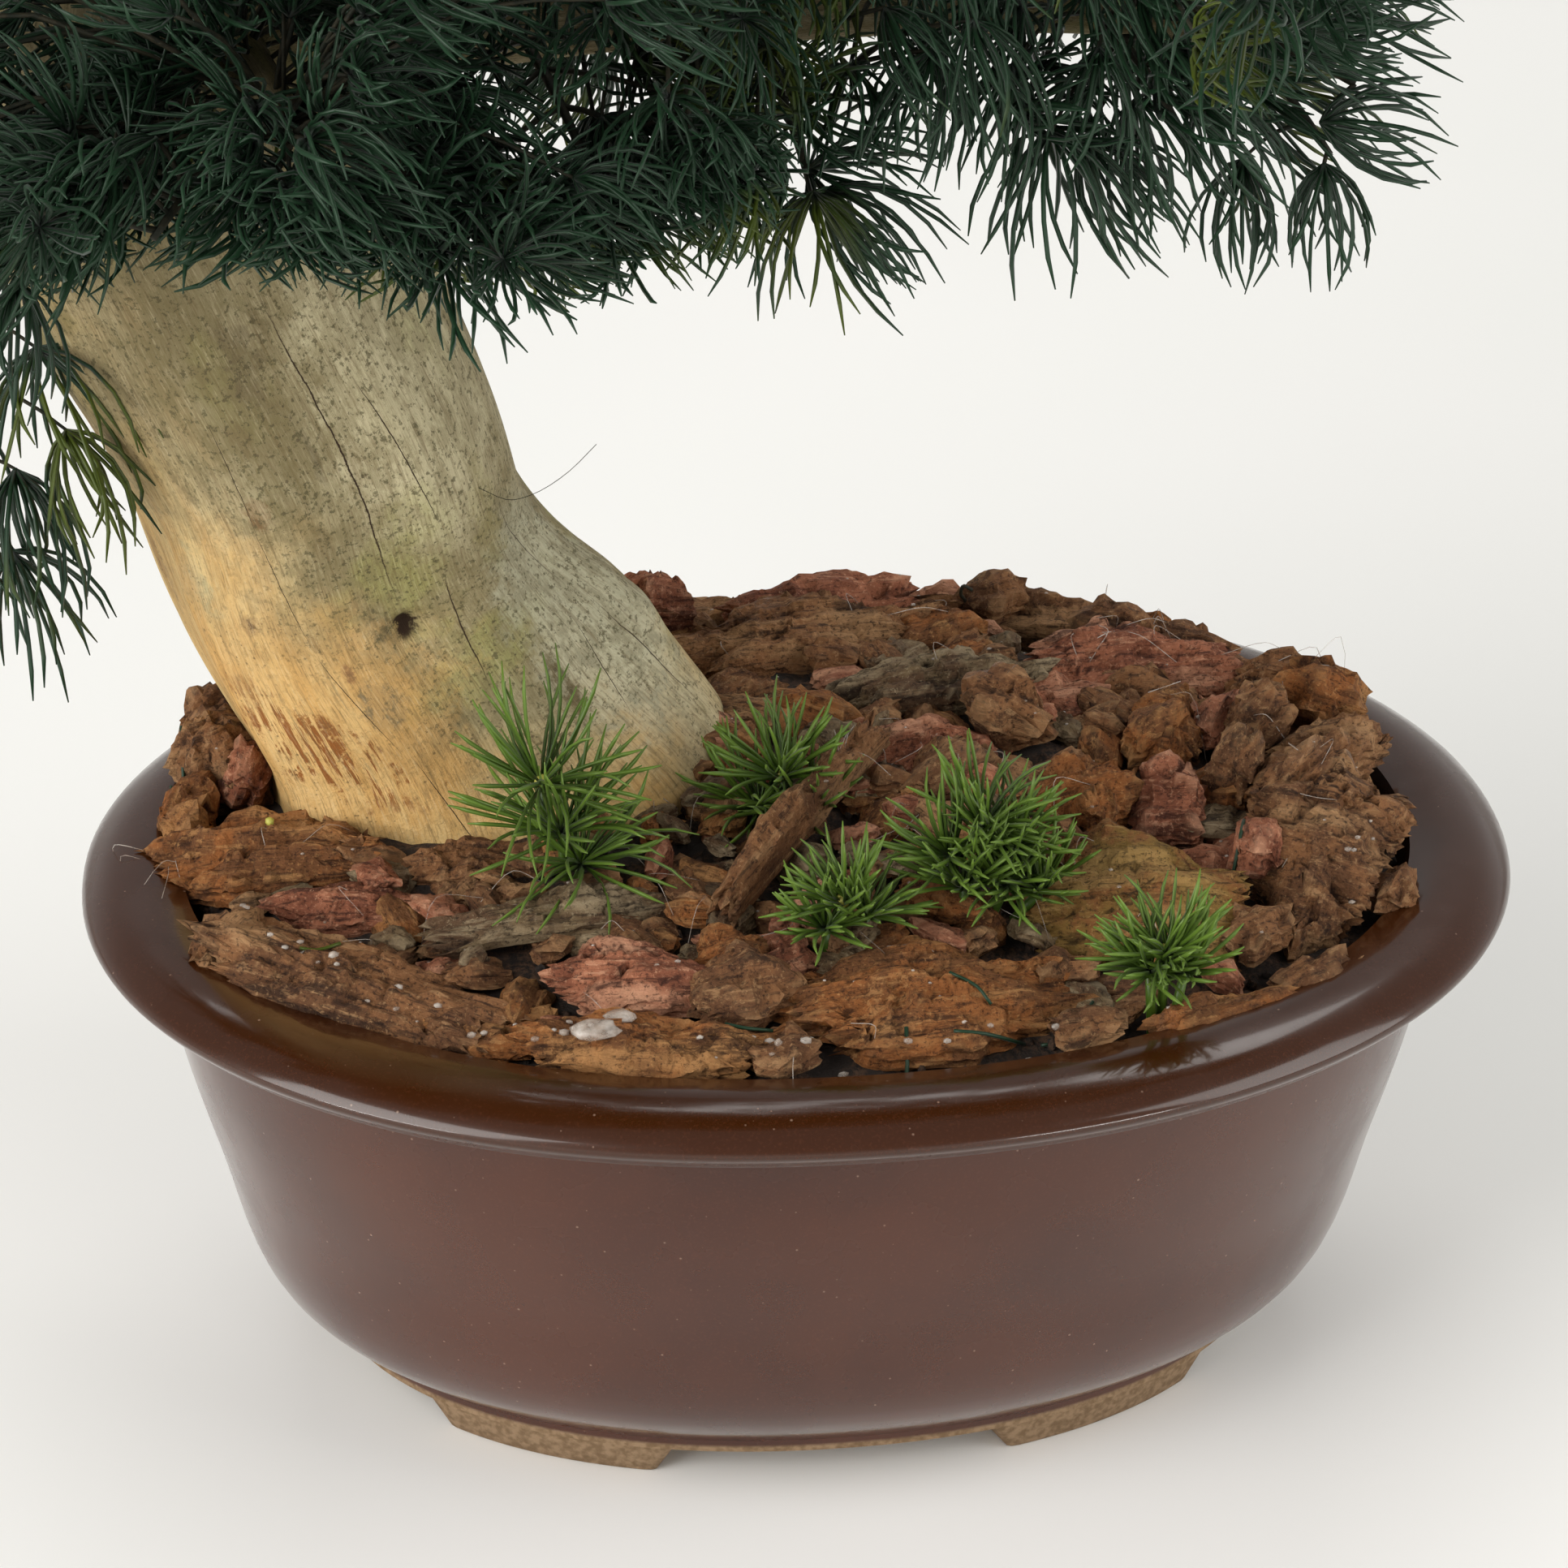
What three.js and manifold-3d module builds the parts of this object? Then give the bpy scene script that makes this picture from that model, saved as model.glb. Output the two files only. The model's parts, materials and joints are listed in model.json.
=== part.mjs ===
// Ming fern bonsai with its glazed oval pot, in millimetres, +Z up.
// The origin is on the table under the middle of the pot. +X runs along the pot's length,
// to the right as seen from the front, and +Y points away from the front.

import * as THREE from 'three';
import { mergeVertices } from 'three/addons/utils/BufferGeometryUtils.js';
import Module from 'manifold-3d';

const wasm = await Module();
wasm.setup();

// Driving dimensions

const RIM_LENGTH = 250;         // pot, over the rim
const RIM_WIDTH = 200;
const PLAN_EXPONENT = 2.11;     // 2 is an ellipse, more is squarer
const RIM_TOP = 96.6;
const FOOT_HEIGHT = 6.7;
const POT_SIDES = 28;
const GAP = 0.35;               // clearance between pieces that touch
const ROOM = 0.85;              // the same round the rough bark chips
const CHIP_COVER = 1.08;        // the chips are laid this much wider, to overlap and be fitted
const BED_RIM = 88;             // height of the gravel bed at the pot wall
const BED_DOME = 10;            // how much it swells in the middle
const BED_SLOPE = 0.12;         // and how much it climbs towards the back
const REACH_X = 167;            // the foliage stays within these half widths
const REACH_Y = 97;
const NEEDLE_LENGTH = 22;
const BUD_RADIUS = 0.95;

const HALF_LENGTH = RIM_LENGTH / 2;
const HALF_WIDTH = RIM_WIDTH / 2;
const RADIANS = Math.PI / 180;

const GLAZE = new THREE.MeshStandardMaterial({ color: 0x4a2317, roughness: 0.12, metalness: 0 });
const GRAVEL = new THREE.MeshStandardMaterial({ color: 0x3a3734, roughness: 0.8, metalness: 0 });
const DRIFTWOOD = new THREE.MeshStandardMaterial({ color: 0xb9a077, roughness: 0.75, metalness: 0 });
const BARK = new THREE.MeshStandardMaterial({ color: 0x84432a, roughness: 0.9, metalness: 0 });
const FERN = new THREE.MeshStandardMaterial({ color: 0x1d3f33, roughness: 0.6, metalness: 0 });
const SPRIG = new THREE.MeshStandardMaterial({ color: 0x3c7a26, roughness: 0.55, metalness: 0 });

const tree = new THREE.Group();

// Seeded random numbers, so that every build is the same

let seedState = 1;

function reseed(number) {
  seedState = number >>> 0;
}

function random() {
  seedState = (seedState + 0x6d2b79f5) >>> 0;
  let t = seedState;
  t = Math.imul(t ^ (t >>> 15), t | 1);
  t ^= t + Math.imul(t ^ (t >>> 7), t | 61);
  return ((t ^ (t >>> 14)) >>> 0) / 4294967296;
}

function spread(amount) {
  return (random() * 2 - 1) * amount;
}

// Closed geometry to solid and back

function solid(geometry) {
  const bare = geometry.clone();
  bare.deleteAttribute('normal');
  bare.deleteAttribute('uv');
  const merged = mergeVertices(bare, 1e-4);
  return new wasm.Manifold(new wasm.Mesh({
    numProp: 3,
    vertProperties: Float32Array.from(merged.attributes.position.array),
    triVerts: Uint32Array.from(merged.index.array),
  }));
}

function largestPiece(body) {
  const pieces = body.decompose();
  return pieces.reduce((best, piece) => (piece.volume() > best.volume() ? piece : best));
}

// Cutting leaves tiny steps. They are smoothed away, by the widest of these amounts that
// leaves every edge of the piece between just two of its faces.

const SMOOTHING = [0.12, 0.1, 0.08, 0.06, 0.04, 0.03, 0.02];

function everyEdgeJoinsTwo(geometry) {
  const corners = mergeVertices(geometry, 1e-3).index.array;
  const faces = new Map();
  for (let i = 0; i < corners.length; i += 3) {
    const [a, b, c] = corners.slice(i, i + 3);
    if (a === b || b === c || c === a) continue;
    for (const [from, to] of [[a, b], [b, c], [c, a]]) {
      const edge = Math.min(from, to) * 1e6 + Math.max(from, to);
      faces.set(edge, (faces.get(edge) ?? 0) + 1);
    }
  }
  return [...faces.values()].every((count) => count === 2);
}

function cleanGeometry(name, body) {
  for (const amount of SMOOTHING) {
    const { vertProperties, triVerts } = body.simplify(amount).getMesh();
    const geometry = new THREE.BufferGeometry();
    geometry.setAttribute('position', new THREE.BufferAttribute(vertProperties, 3));
    geometry.setIndex(new THREE.BufferAttribute(triVerts, 1));
    if (everyEdgeJoinsTwo(geometry)) {
      geometry.computeVertexNormals();
      return geometry;
    }
  }
  throw new Error(`${name} has edges between more than two faces`);
}

function addMesh(name, body, material) {
  const mesh = new THREE.Mesh(cleanGeometry(name, body), material);
  mesh.name = name;
  tree.add(mesh);
}

function warp(geometry, moveVertex) {
  const position = geometry.attributes.position;
  const v = new THREE.Vector3();
  for (let i = 0; i < position.count; i += 1) {
    v.fromBufferAttribute(position, i);
    moveVertex(v);
    position.setXYZ(i, v.x, v.y, v.z);
  }
  return geometry;
}

// The axis that a curve never runs along, which keeps the sections of a bar from twisting

function axisAcross(curve) {
  const tangents = [0, 0.25, 0.5, 0.75, 1].map((along) => curve.getTangent(along));
  const alignment = (axis) => Math.max(...tangents.map((tangent) => Math.abs(tangent.dot(axis))));
  const axes = [new THREE.Vector3(0, 1, 0), new THREE.Vector3(1, 0, 0), new THREE.Vector3(0, 0, 1)];
  return axes.reduce((best, axis) => (alignment(axis) < alignment(best) ? axis : best));
}

// A round bar along a curve, its radius given by a rule of turn angle and of the share of the way

function barAlong(curve, radiusAt, sides, steps) {
  const bar = new THREE.CylinderGeometry(1, 1, 1, sides, steps);
  const reference = axisAcross(curve);
  return solid(warp(bar, (v) => {
    const along = v.y + 0.5;
    const point = curve.getPoint(along);
    const tangent = curve.getTangent(along);
    const across = reference.clone().cross(tangent).normalize();
    const outward = across.clone().cross(tangent);
    const radius = radiusAt(Math.atan2(v.z, v.x), along);
    across.multiplyScalar(v.x * radius);
    outward.multiplyScalar(v.z * radius);
    v.copy(point).add(across).add(outward);
  }));
}

function smoothCurve(points) {
  return new THREE.CatmullRomCurve3(points.map((p) => new THREE.Vector3(...p)), false, 'centripetal');
}

// Pot: one glazed piece, a rounded oval bowl with a broad rolled rim and four curved feet.
// The plan is a superellipse. Every level is inset from the rim by the same width all round.

function planPoint(halfLength, angle) {
  const inset = HALF_LENGTH - halfLength;
  const blend = THREE.MathUtils.smoothstep(halfLength, 0, 60);
  const halfWidth = THREE.MathUtils.lerp(halfLength * 0.6, HALF_WIDTH - inset, blend);
  const power = 2 / PLAN_EXPONENT;
  const c = Math.cos(angle);
  const s = Math.sin(angle);
  return [
    halfLength * Math.sign(c) * Math.abs(c) ** power,
    halfWidth * Math.sign(s) * Math.abs(s) ** power,
  ];
}

function ovalOfProfile(profile, sides) {
  const lathe = new THREE.LatheGeometry(profile.map(([a, z]) => new THREE.Vector2(a, z)), sides);
  lathe.rotateX(Math.PI / 2);
  return warp(lathe, (v) => {
    const a = Math.hypot(v.x, v.y);
    if (a < 1e-6) return;
    [v.x, v.y] = planPoint(a, Math.atan2(v.y, v.x));
  });
}

const WALL = new THREE.SplineCurve([
  new THREE.Vector2(85.7, 9.4),
  new THREE.Vector2(97.2, 21),
  new THREE.Vector2(104.3, 45),
  new THREE.Vector2(110.3, 69),
  new THREE.Vector2(112.6, 86),
]);

const INNER_WALL = new THREE.SplineCurve([
  new THREE.Vector2(78, 16),
  new THREE.Vector2(90, 24),
  new THREE.Vector2(98.2, 45),
  new THREE.Vector2(104.2, 69),
  new THREE.Vector2(106, 86),
]);

const RIM = new THREE.SplineCurve([
  new THREE.Vector2(122.2, 88.2),
  new THREE.Vector2(HALF_LENGTH, 91.8),
  new THREE.Vector2(121, 95.2),
  new THREE.Vector2(114, RIM_TOP),
  new THREE.Vector2(107.4, 95.6),
]);

function pairs(curve, count) {
  return curve.getPoints(count).map((p) => [p.x, p.y]);
}

function footSolid(startAngle, endAngle) {
  const endSlant = 3 * RADIANS;
  const block = new THREE.BoxGeometry(1, 1, 1, 7, 1, 1);
  return solid(warp(block, (v) => {
    const top = v.z + 0.5;
    const slant = endSlant * (1 - top);
    const angle = THREE.MathUtils.lerp(startAngle + slant, endAngle - slant, v.x + 0.5);
    const outer = THREE.MathUtils.lerp(82.6, 84.9, top);
    const inner = 69;
    const [x, y] = planPoint(v.y > 0 ? inner : outer, angle);
    v.set(x, y, top * (FOOT_HEIGHT + 1.5));
  }));
}

function potSolid(grow) {
  const profile = [
    [0, FOOT_HEIGHT],
    [84.9, FOOT_HEIGHT],
    ...pairs(WALL, 5),
    [115.5, 87.6],
    ...pairs(RIM, 8).map(([a, z]) => [a, z + grow]),
    ...pairs(INNER_WALL, 3).reverse().map(([a, z]) => [a - grow, z]),
    [66, 14],
    [0, 14],
  ];
  let body = solid(ovalOfProfile(profile, POT_SIDES));
  for (const [start, end] of [[-72, -35], [-145, -108], [35, 72], [108, 145]]) {
    body = body.add(footSolid(start * RADIANS, end * RADIANS));
  }
  return body;
}

// Gravel bed: the weighted filling that holds the trunk, domed and climbing to the back

function bedHeight(x, y) {
  const reach = Math.min(1, Math.hypot(x / 105, y / 80));
  const dome = BED_DOME * (1 - reach ** 2.5);
  const slope = BED_SLOPE * (y + 60) * (1 - reach ** 4);
  return BED_RIM + dome + slope;
}

function bedSolid() {
  const wall = pairs(INNER_WALL, 3).map(([a, z]) => [a - GAP, z]);
  const top = [86, 60, 30, 0].map((a) => [a, BED_RIM + 1]);
  const profile = [[0, 14 + GAP], [65, 14 + GAP], ...wall, ...top];
  return solid(warp(ovalOfProfile(profile, POT_SIDES), (v) => {
    if (v.z > 85) v.z = bedHeight(v.x, v.y);
  }));
}

// Driftwood: the leaning trunk with its limbs, grown as one piece

const TRUNK_AXIS = smoothCurve([
  [-50, 23, 58],
  [-56, 28, 98],
  [-63, 27, 117],
  [-75, 26, 142],
  [-82, 24, 168],
  [-96, 21, 203],
  [-107, 17, 236],
  [-104, 11, 268],
  [-88, 5, 306],
  [-60, 1, 342],
  [-33, -2, 370],
  [-17, -4, 396],
  [-12, -4, 416],
]);

const TRUNK_SIDES = 14;
const TRUNK_STEPS = 16;
const TRUNK_RADII = [27, 40, 34, 32, 32, 33, 32, 28, 21, 15, 10.5, 7, 4];

function trunkRadius(angle, along) {
  const place = along * (TRUNK_RADII.length - 1);
  const index = Math.min(Math.floor(place), TRUNK_RADII.length - 2);
  const radius = THREE.MathUtils.lerp(TRUNK_RADII[index], TRUNK_RADII[index + 1], place - index);
  const ribs = 1 + 0.035 * Math.cos(5 * angle + 9 * along) + 0.025 * Math.cos(8 * angle - 5 * along);
  const rightRoot = 11.5 * Math.exp(-((wrapped(angle - 0.6) / 0.6) ** 2) - ((place - 0.9) / 0.8) ** 2);
  const burl = 5.5 * Math.exp(-((wrapped(angle - 0.15) / 0.45) ** 2) - ((place - 1.95) / 0.4) ** 2);
  const flatBack = 9 * Math.exp(-((wrapped(angle + 2.1) / 0.8) ** 2) - ((place - 0.8) / 0.9) ** 2);
  return radius * ribs + rightRoot + burl - flatBack;
}

function wrapped(angle) {
  return Math.atan2(Math.sin(angle), Math.cos(angle));
}

// Each limb: its points from inside the trunk to its tip, with the radius at both ends

const LIMBS = {
  lowRight: { points: [[-92, 6, 236], [-58, -6, 250], [-14, -14, 254], [30, -13, 252], [62, -10, 246]], radii: [11, 3.5] },
  lowLeft: { points: [[-104, 10, 240], [-132, 4, 244], [-148, 2, 236]], radii: [10, 4] },
  front: { points: [[-98, 6, 244], [-92, -26, 252], [-84, -52, 250]], radii: [9, 3.5] },
  back: { points: [[-96, 16, 262], [-74, 42, 276], [-46, 56, 280]], radii: [10, 3.5] },
  midRight: { points: [[-76, 3, 318], [-30, 4, 330], [22, 2, 330], [70, -4, 326], [108, -6, 318]], radii: [10, 3.5] },
  midLeft: { points: [[-88, 5, 302], [-116, -4, 316], [-136, -10, 318]], radii: [8, 3.5] },
  crownRight: { points: [[-34, -2, 368], [-6, -10, 384], [26, -14, 388]], radii: [7, 3] },
};

for (const limb of Object.values(LIMBS)) {
  limb.curve = smoothCurve(limb.points);
}

function limbRadius(limb, along) {
  return THREE.MathUtils.lerp(limb.radii[0], limb.radii[1], along);
}

function woodSolid() {
  let body = barAlong(TRUNK_AXIS, trunkRadius, TRUNK_SIDES, TRUNK_STEPS);
  for (const limb of Object.values(LIMBS)) {
    body = body.add(barAlong(limb.curve, (angle, along) => limbRadius(limb, along), 5, 4));
  }
  return body;
}

function trunkSocket() {
  const grownRadius = (angle, along) => trunkRadius(angle, along) + GAP;
  const grown = barAlong(TRUNK_AXIS, grownRadius, TRUNK_SIDES, TRUNK_STEPS);
  return grown.add(grown.translate([0, 0, -GAP]));
}

// Bark chips: curved slabs with torn ends, laid over the bed. Each row has the chip's name,
// the place of its middle, its length, width and thickness, its turn, its tip up at the far
// side, its roll to the right and the rise of its middle.

const CHIPS = [
  ['bark_red', -34, -56, 101, 28, 17, 6, -6, 12, 0, 1],
  ['bark_small_orange', -17, -53, 102, 13, 13, 7, 20, 10, 6, 1],
  ['bark_diagonal_strip', -4, -20, 108, 50, 6, 13, 62, 0, 8, 2],
  ['bark_front_long', -78, -48, 97.5, 60, 17, 6, -31, 12, 4, 1],
  ['bark_front_fibrous', -34, -71, 96, 40, 13, 7, -9, 8, 0, 1],
  ['bark_orange_plank', 14, -62, 97.5, 46, 26, 7, 6, 10, 0, 2],
  ['bark_left_upper', -93, -5, 99, 42, 19, 8, -10, 10, -6, 2],
  ['bark_left_mid', -77, -24, 98, 34, 11, 6, -8, 14, 0, 1],
  ['bark_curved_dark', -44, -37, 99, 42, 9, 5, 6, 20, 0, 4],
  ['bark_trunk_foot', -58, -17, 99.5, 24, 11, 6, -6, 12, 0, 1],
  ['bark_block', 48, -12, 106, 19, 17, 13, 12, 14, -8, 1],
  ['bark_plate', 52, -42, 101.5, 35, 33, 5, -4, 24, 0, 3],
  ['bark_right_upright', 86, -29, 104, 24, 44, 9, -22, 22, 10, 2],
  ['bark_rim_wedge', 62, -68, 95.5, 29, 8, 5, 18, 6, 0, 0],
  ['bark_right_rim', 97, 4, 104.5, 30, 11, 10, 28, 10, 12, 1],
  ['bark_right_back', 91, 22, 103.5, 22, 21, 13, -20, 16, 10, 1],
  ['bark_nodular', 67, 8, 107.5, 13, 22, 12, -18, 14, 10, 1],
  ['bark_back_slab', 4, 44, 112, 50, 20, 7, 4, 18, 0, 2],
  ['bark_gray_log', 28, 24, 110, 42, 11, 10, 8, 10, 0, 1],
  ['bark_pink_slab', 64, 31, 109.5, 37, 20, 7, 8, 20, 3, 1],
  ['bark_back_right', 56, 56, 104.5, 26, 15, 6, -12, 36, 0, 1],
  ['bark_back_ridge', 17, 64, 106, 42, 13, 7, -8, 26, 0, 2],
  ['bark_back_shard', -20, 63, 110, 14, 8, 16, 12, 0, 10, 0],
  ['bark_reddish', 23, 4, 106.5, 32, 15, 8, 12, 12, 0, 2],
  ['bark_left_back', -100, 27, 102, 15, 22, 14, 22, 10, -14, 2],
  ['bark_behind_trunk', -50, 72, 101, 36, 15, 6, 14, 10, 0, 2],
];

function chipSolid([name, x, y, z, fullLength, fullWidth, thick, turn, tip, roll, rise], grow) {
  const length = fullLength * CHIP_COVER;
  const width = fullWidth * CHIP_COVER;
  reseed(name.length * 7919 + Math.round(x * 13 + y * 29));
  const waves = [random() * 6, random() * 6, random() * 6, random() * 6];
  const bumps = 0.16 * Math.min(thick, width / 2, length / 4);
  const box = new THREE.BoxGeometry(1, 1, 1, 4, 2, 1);
  warp(box, (v) => {
    const u = v.x * 2;
    const w = v.y * 2;
    const edge = 1 - 0.3 * u ** 4 + 0.1 * Math.sin(3 * u + waves[0] + w);
    const torn = 0.04 * Math.sin(2.5 * w + waves[1]) * Math.min(length, width);
    const lump = bumps * Math.sin(4 * u + waves[2]) * Math.cos(2 * w + waves[3]);
    const thin = 1 - 0.35 * u * u;
    v.x = v.x * length + torn * Math.abs(u) + grow * Math.trunc(u);
    v.y = v.y * width * edge + grow * Math.trunc(w);
    v.z = v.z * (thick * thin + 2 * grow) + lump + rise * (1 - u * u) - 0.12 * width * w * w;
  });
  box.rotateX(tip * RADIANS);
  box.rotateY(roll * RADIANS);
  box.rotateZ(turn * RADIANS);
  box.translate(x, y, z);
  return solid(box);
}

// Leafy growth: buds on thin stems, each a small core whose faces rise into slender
// three-sided needles

const placed = [];              // every stem, needle and limb, as a thin capsule

function place(node, start, end, radius) {
  placed.push({ node, start: start.clone(), end: end.clone(), radius });
}

function segmentGap(a0, a1, b0, b1) {
  const u = a1.clone().sub(a0);
  const v = b1.clone().sub(b0);
  const w = a0.clone().sub(b0);
  const a = u.dot(u);
  const b = u.dot(v);
  const c = v.dot(v);
  const d = u.dot(w);
  const e = v.dot(w);
  const flat = a * c - b * b;
  let s = flat > 1e-9 ? THREE.MathUtils.clamp((b * e - c * d) / flat, 0, 1) : 0;
  const t = THREE.MathUtils.clamp((b * s + e) / c, 0, 1);
  s = THREE.MathUtils.clamp((b * t - d) / a, 0, 1);
  return w.addScaledVector(u, s).addScaledVector(v, -t).length();
}

function isClear(start, end, radius, ownNames) {
  const middle = start.clone().add(end).multiplyScalar(0.5);
  const half = start.distanceTo(end) / 2;
  return placed.every((other) => {
    if (ownNames.includes(other.node)) return true;
    const near = (other.start.distanceTo(other.end) / 2) + half + other.radius + radius + GAP;
    const otherMiddle = other.start.clone().add(other.end).multiplyScalar(0.5);
    if (otherMiddle.distanceTo(middle) > near) return true;
    return segmentGap(start, end, other.start, other.end) > radius + other.radius + GAP;
  });
}

function placeCurve(node, curve, steps, radiusAt) {
  for (let i = 0; i < steps; i += 1) {
    const share = (i + 0.5) / steps;
    place(node, curve.getPoint(i / steps), curve.getPoint((i + 1) / steps), radiusAt(share));
  }
}

function faceMiddle(face) {
  return face[0].clone().add(face[1]).add(face[2]).divideScalar(3);
}

function budCore(centre, heading) {
  const corners = new THREE.IcosahedronGeometry(BUD_RADIUS, 0).attributes.position;
  const faces = [];
  for (let i = 0; i < corners.count; i += 3) {
    faces.push([0, 1, 2].map((k) => new THREE.Vector3().fromBufferAttribute(corners, i + k)));
  }
  const back = heading.clone().negate();
  const turn = new THREE.Quaternion().setFromUnitVectors(faceMiddle(faces[0]).normalize(), back);
  const spin = new THREE.Quaternion().setFromAxisAngle(heading, spread(Math.PI));
  for (const corner of faces.flat()) corner.applyQuaternion(turn).applyQuaternion(spin).add(centre);
  return faces;
}

// The bud's first face looks back along its twig. Where the bud stands off the stem, that face
// is drawn out into the twig, which runs through the stem and ends as a needle beyond it.

function budSolid({ node, stem, centre, heading, twig, pull, length, blocked }) {
  const points = [];
  budCore(centre, heading).forEach((face, i) => {
    const middle = faceMiddle(face);
    const outward = middle.clone().sub(centre).normalize();
    const direction = outward.clone().addScaledVector(pull, 0.5);
    direction.add(new THREE.Vector3(spread(0.14), spread(0.14), spread(0.14))).normalize();
    let tip = middle.clone().addScaledVector(direction, length * (0.8 + 0.25 * random()));
    const inReach = Math.abs(tip.x) < REACH_X && Math.abs(tip.y) < REACH_Y;
    let rises = inReach && direction.dot(outward) > 0.6 && i > 0;
    rises = rises && isClear(middle, tip, 0.5, [node, stem]) && !blocked(middle, tip);
    if (rises) place(node, middle, tip, 0.45);
    if (i === 0 && twig > 0) {
      tip = centre.clone().addScaledVector(heading, -1.4 * twig);
      rises = true;
      place(stem, centre, tip, 0.5);
    }
    if (rises) {
      for (const k of [0, 1, 2]) points.push(face[k], face[(k + 1) % 3], tip);
    } else {
      points.push(...face);
    }
  });
  place(node, centre, centre.clone().setZ(centre.z + 0.1), BUD_RADIUS);
  return solid(new THREE.BufferGeometry().setFromPoints(points));
}

const neverBlocked = () => false;

// Sprays: each leafy stem stands in a plain hole in a limb and arches out to its tip. Each row
// has the spray's name, the wood it grows from, the share of the way along it, and its tip.

const SPRAYS = [
  ['spray_low_right_front', 'lowRight', 0.3, [-36, -62, 222]],
  ['spray_low_right_drooping', 'lowRight', 0.5, [-4, -34, 208]],
  ['spray_low_right_outer', 'lowRight', 0.82, [60, -18, 210]],
  ['spray_low_right_end', 'lowRight', 0.97, [92, -10, 214]],
  ['spray_low_right_tip', 'lowRight', 0.92, [98, -22, 244]],
  ['spray_low_right_back', 'lowRight', 0.7, [48, 42, 238]],
  ['spray_low_back', 'lowRight', 0.4, [-18, 50, 232]],
  ['spray_front_right', 'front', 0.8, [-62, -80, 226]],
  ['spray_front_left', 'front', 0.97, [-104, -80, 230]],
  ['spray_front_low', 'front', 0.6, [-124, -44, 224]],
  ['spray_left_hanging', 'lowLeft', 0.86, [-139, 14, 152]],
  ['spray_left_end', 'lowLeft', 0.97, [-152, -18, 214]],
  ['spray_left_back', 'lowLeft', 0.7, [-140, 48, 232]],
  ['spray_back_right', 'back', 0.95, [-30, 82, 262]],
  ['spray_back_left', 'back', 0.6, [-100, 78, 262]],
  ['spray_mid_right_end', 'midRight', 0.97, [151, -12, 308]],
  ['spray_mid_right_front', 'midRight', 0.8, [96, -66, 312]],
  ['spray_mid_right_back', 'midRight', 0.66, [64, 66, 316]],
  ['spray_mid_inner', 'midRight', 0.45, [18, -66, 322]],
  ['spray_mid_left_end', 'midLeft', 0.95, [-152, -30, 308]],
  ['spray_mid_left_front', 'midLeft', 0.6, [-104, -70, 326]],
  ['spray_crown_right', 'crownRight', 0.93, [62, -20, 372]],
  ['spray_crown_front', 'crownRight', 0.5, [-26, -68, 376]],
  ['spray_crown_back', 'trunk', 0.91, [-10, 66, 380]],
  ['spray_crown_left', 'trunk', 0.88, [-86, 4, 378]],
  ['spray_crown_top', 'trunk', 0.98, [-4, -4, 434]],
];

const STEM_RADIUS = 1.1;
const SIDE_TWIGS = [
  { along: 0.45, turn: 64, length: 24 },
  { along: 0.62, turn: -66, length: 24 },
  { along: 0.78, turn: 62, length: 20 },
];

function woodCurve(wood) {
  return wood === 'trunk' ? TRUNK_AXIS : LIMBS[wood].curve;
}

function stemCurve(root, tip, lift) {
  const reach = Math.hypot(tip.x - root.x, tip.y - root.y);
  const shoulder = root.clone().lerp(tip, 0.45);
  const drop = root.z - tip.z;
  shoulder.z = Math.max(root.z, tip.z) + 0.06 * reach + lift;
  if (drop < -12) shoulder.z = (root.z + tip.z) / 2 + 0.1 * reach + lift;
  if (drop > 2 * reach) shoulder.z = root.z - 0.2 * drop + lift;
  return new THREE.QuadraticBezierCurve3(root, shoulder, tip);
}

function clearStem(node, root, tip, wood) {
  const lifts = [0, 5, -5, 10, -10, 15, 20, 25];
  for (const lift of lifts) {
    const curve = stemCurve(root, tip, lift);
    const ends = [0, 1, 2, 3, 4].map((i) => curve.getPoint(0.12 + 0.88 * (i / 4)));
    const clear = [0, 1, 2, 3].every((i) => isClear(ends[i], ends[i + 1], STEM_RADIUS + 0.2, ['wood']));
    if (clear) return curve;
  }
  throw new Error(`${node} finds no clear way out of ${wood}`);
}

function spraySolid(name, wood, share, tipPoint) {
  const tip = new THREE.Vector3(...tipPoint);
  const root = woodCurve(wood).getPoint(share);
  const curve = clearStem(name, root, tip, wood);
  const stemRadius = (angle, along) => STEM_RADIUS * (1 - 0.5 * along);
  let body = barAlong(curve, stemRadius, 4, 4);
  placeCurve(name, curve, 4, (along) => STEM_RADIUS * (1.1 - 0.5 * along));
  const buds = [{ centre: tip, heading: curve.getTangent(1), twig: 0 }];
  for (const side of SIDE_TWIGS) {
    const start = curve.getPoint(side.along);
    for (const dip of [-0.25, 0.1, -0.6, 0.5]) {
      const heading = curve.getTangent(side.along);
      heading.applyAxisAngle(new THREE.Vector3(0, 0, 1), side.turn * RADIANS);
      heading.z = heading.z * 0.4 + dip;
      heading.normalize();
      const centre = start.clone().addScaledVector(heading, side.length);
      const beyond = start.clone().addScaledVector(heading, -0.4 * side.length);
      const inReach = Math.abs(centre.x) < REACH_X - 4 && Math.abs(centre.y) < REACH_Y - 4;
      if (!inReach || !isClear(beyond, centre, BUD_RADIUS, [name])) continue;
      buds.push({ centre, heading, twig: side.length });
      break;
    }
  }
  buds.forEach(({ centre, heading, twig }, i) => {
    const pull = heading.clone().setZ(heading.z - 0.3);
    const node = `${name} bud ${i}`;
    const bud = { node, stem: name, centre, heading, twig, pull, length: NEEDLE_LENGTH, blocked: neverBlocked };
    body = body.add(budSolid(bud));
  });
  const holeCurve = curve.clone();
  holeCurve.v0.addScaledVector(curve.getTangent(0), -2 * GAP);
  const holeRadius = (angle, along) => 1.5 * stemRadius(angle, along) + GAP;
  return { body: largestPiece(body), hole: barAlong(holeCurve, holeRadius, 4, 4) };
}

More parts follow.
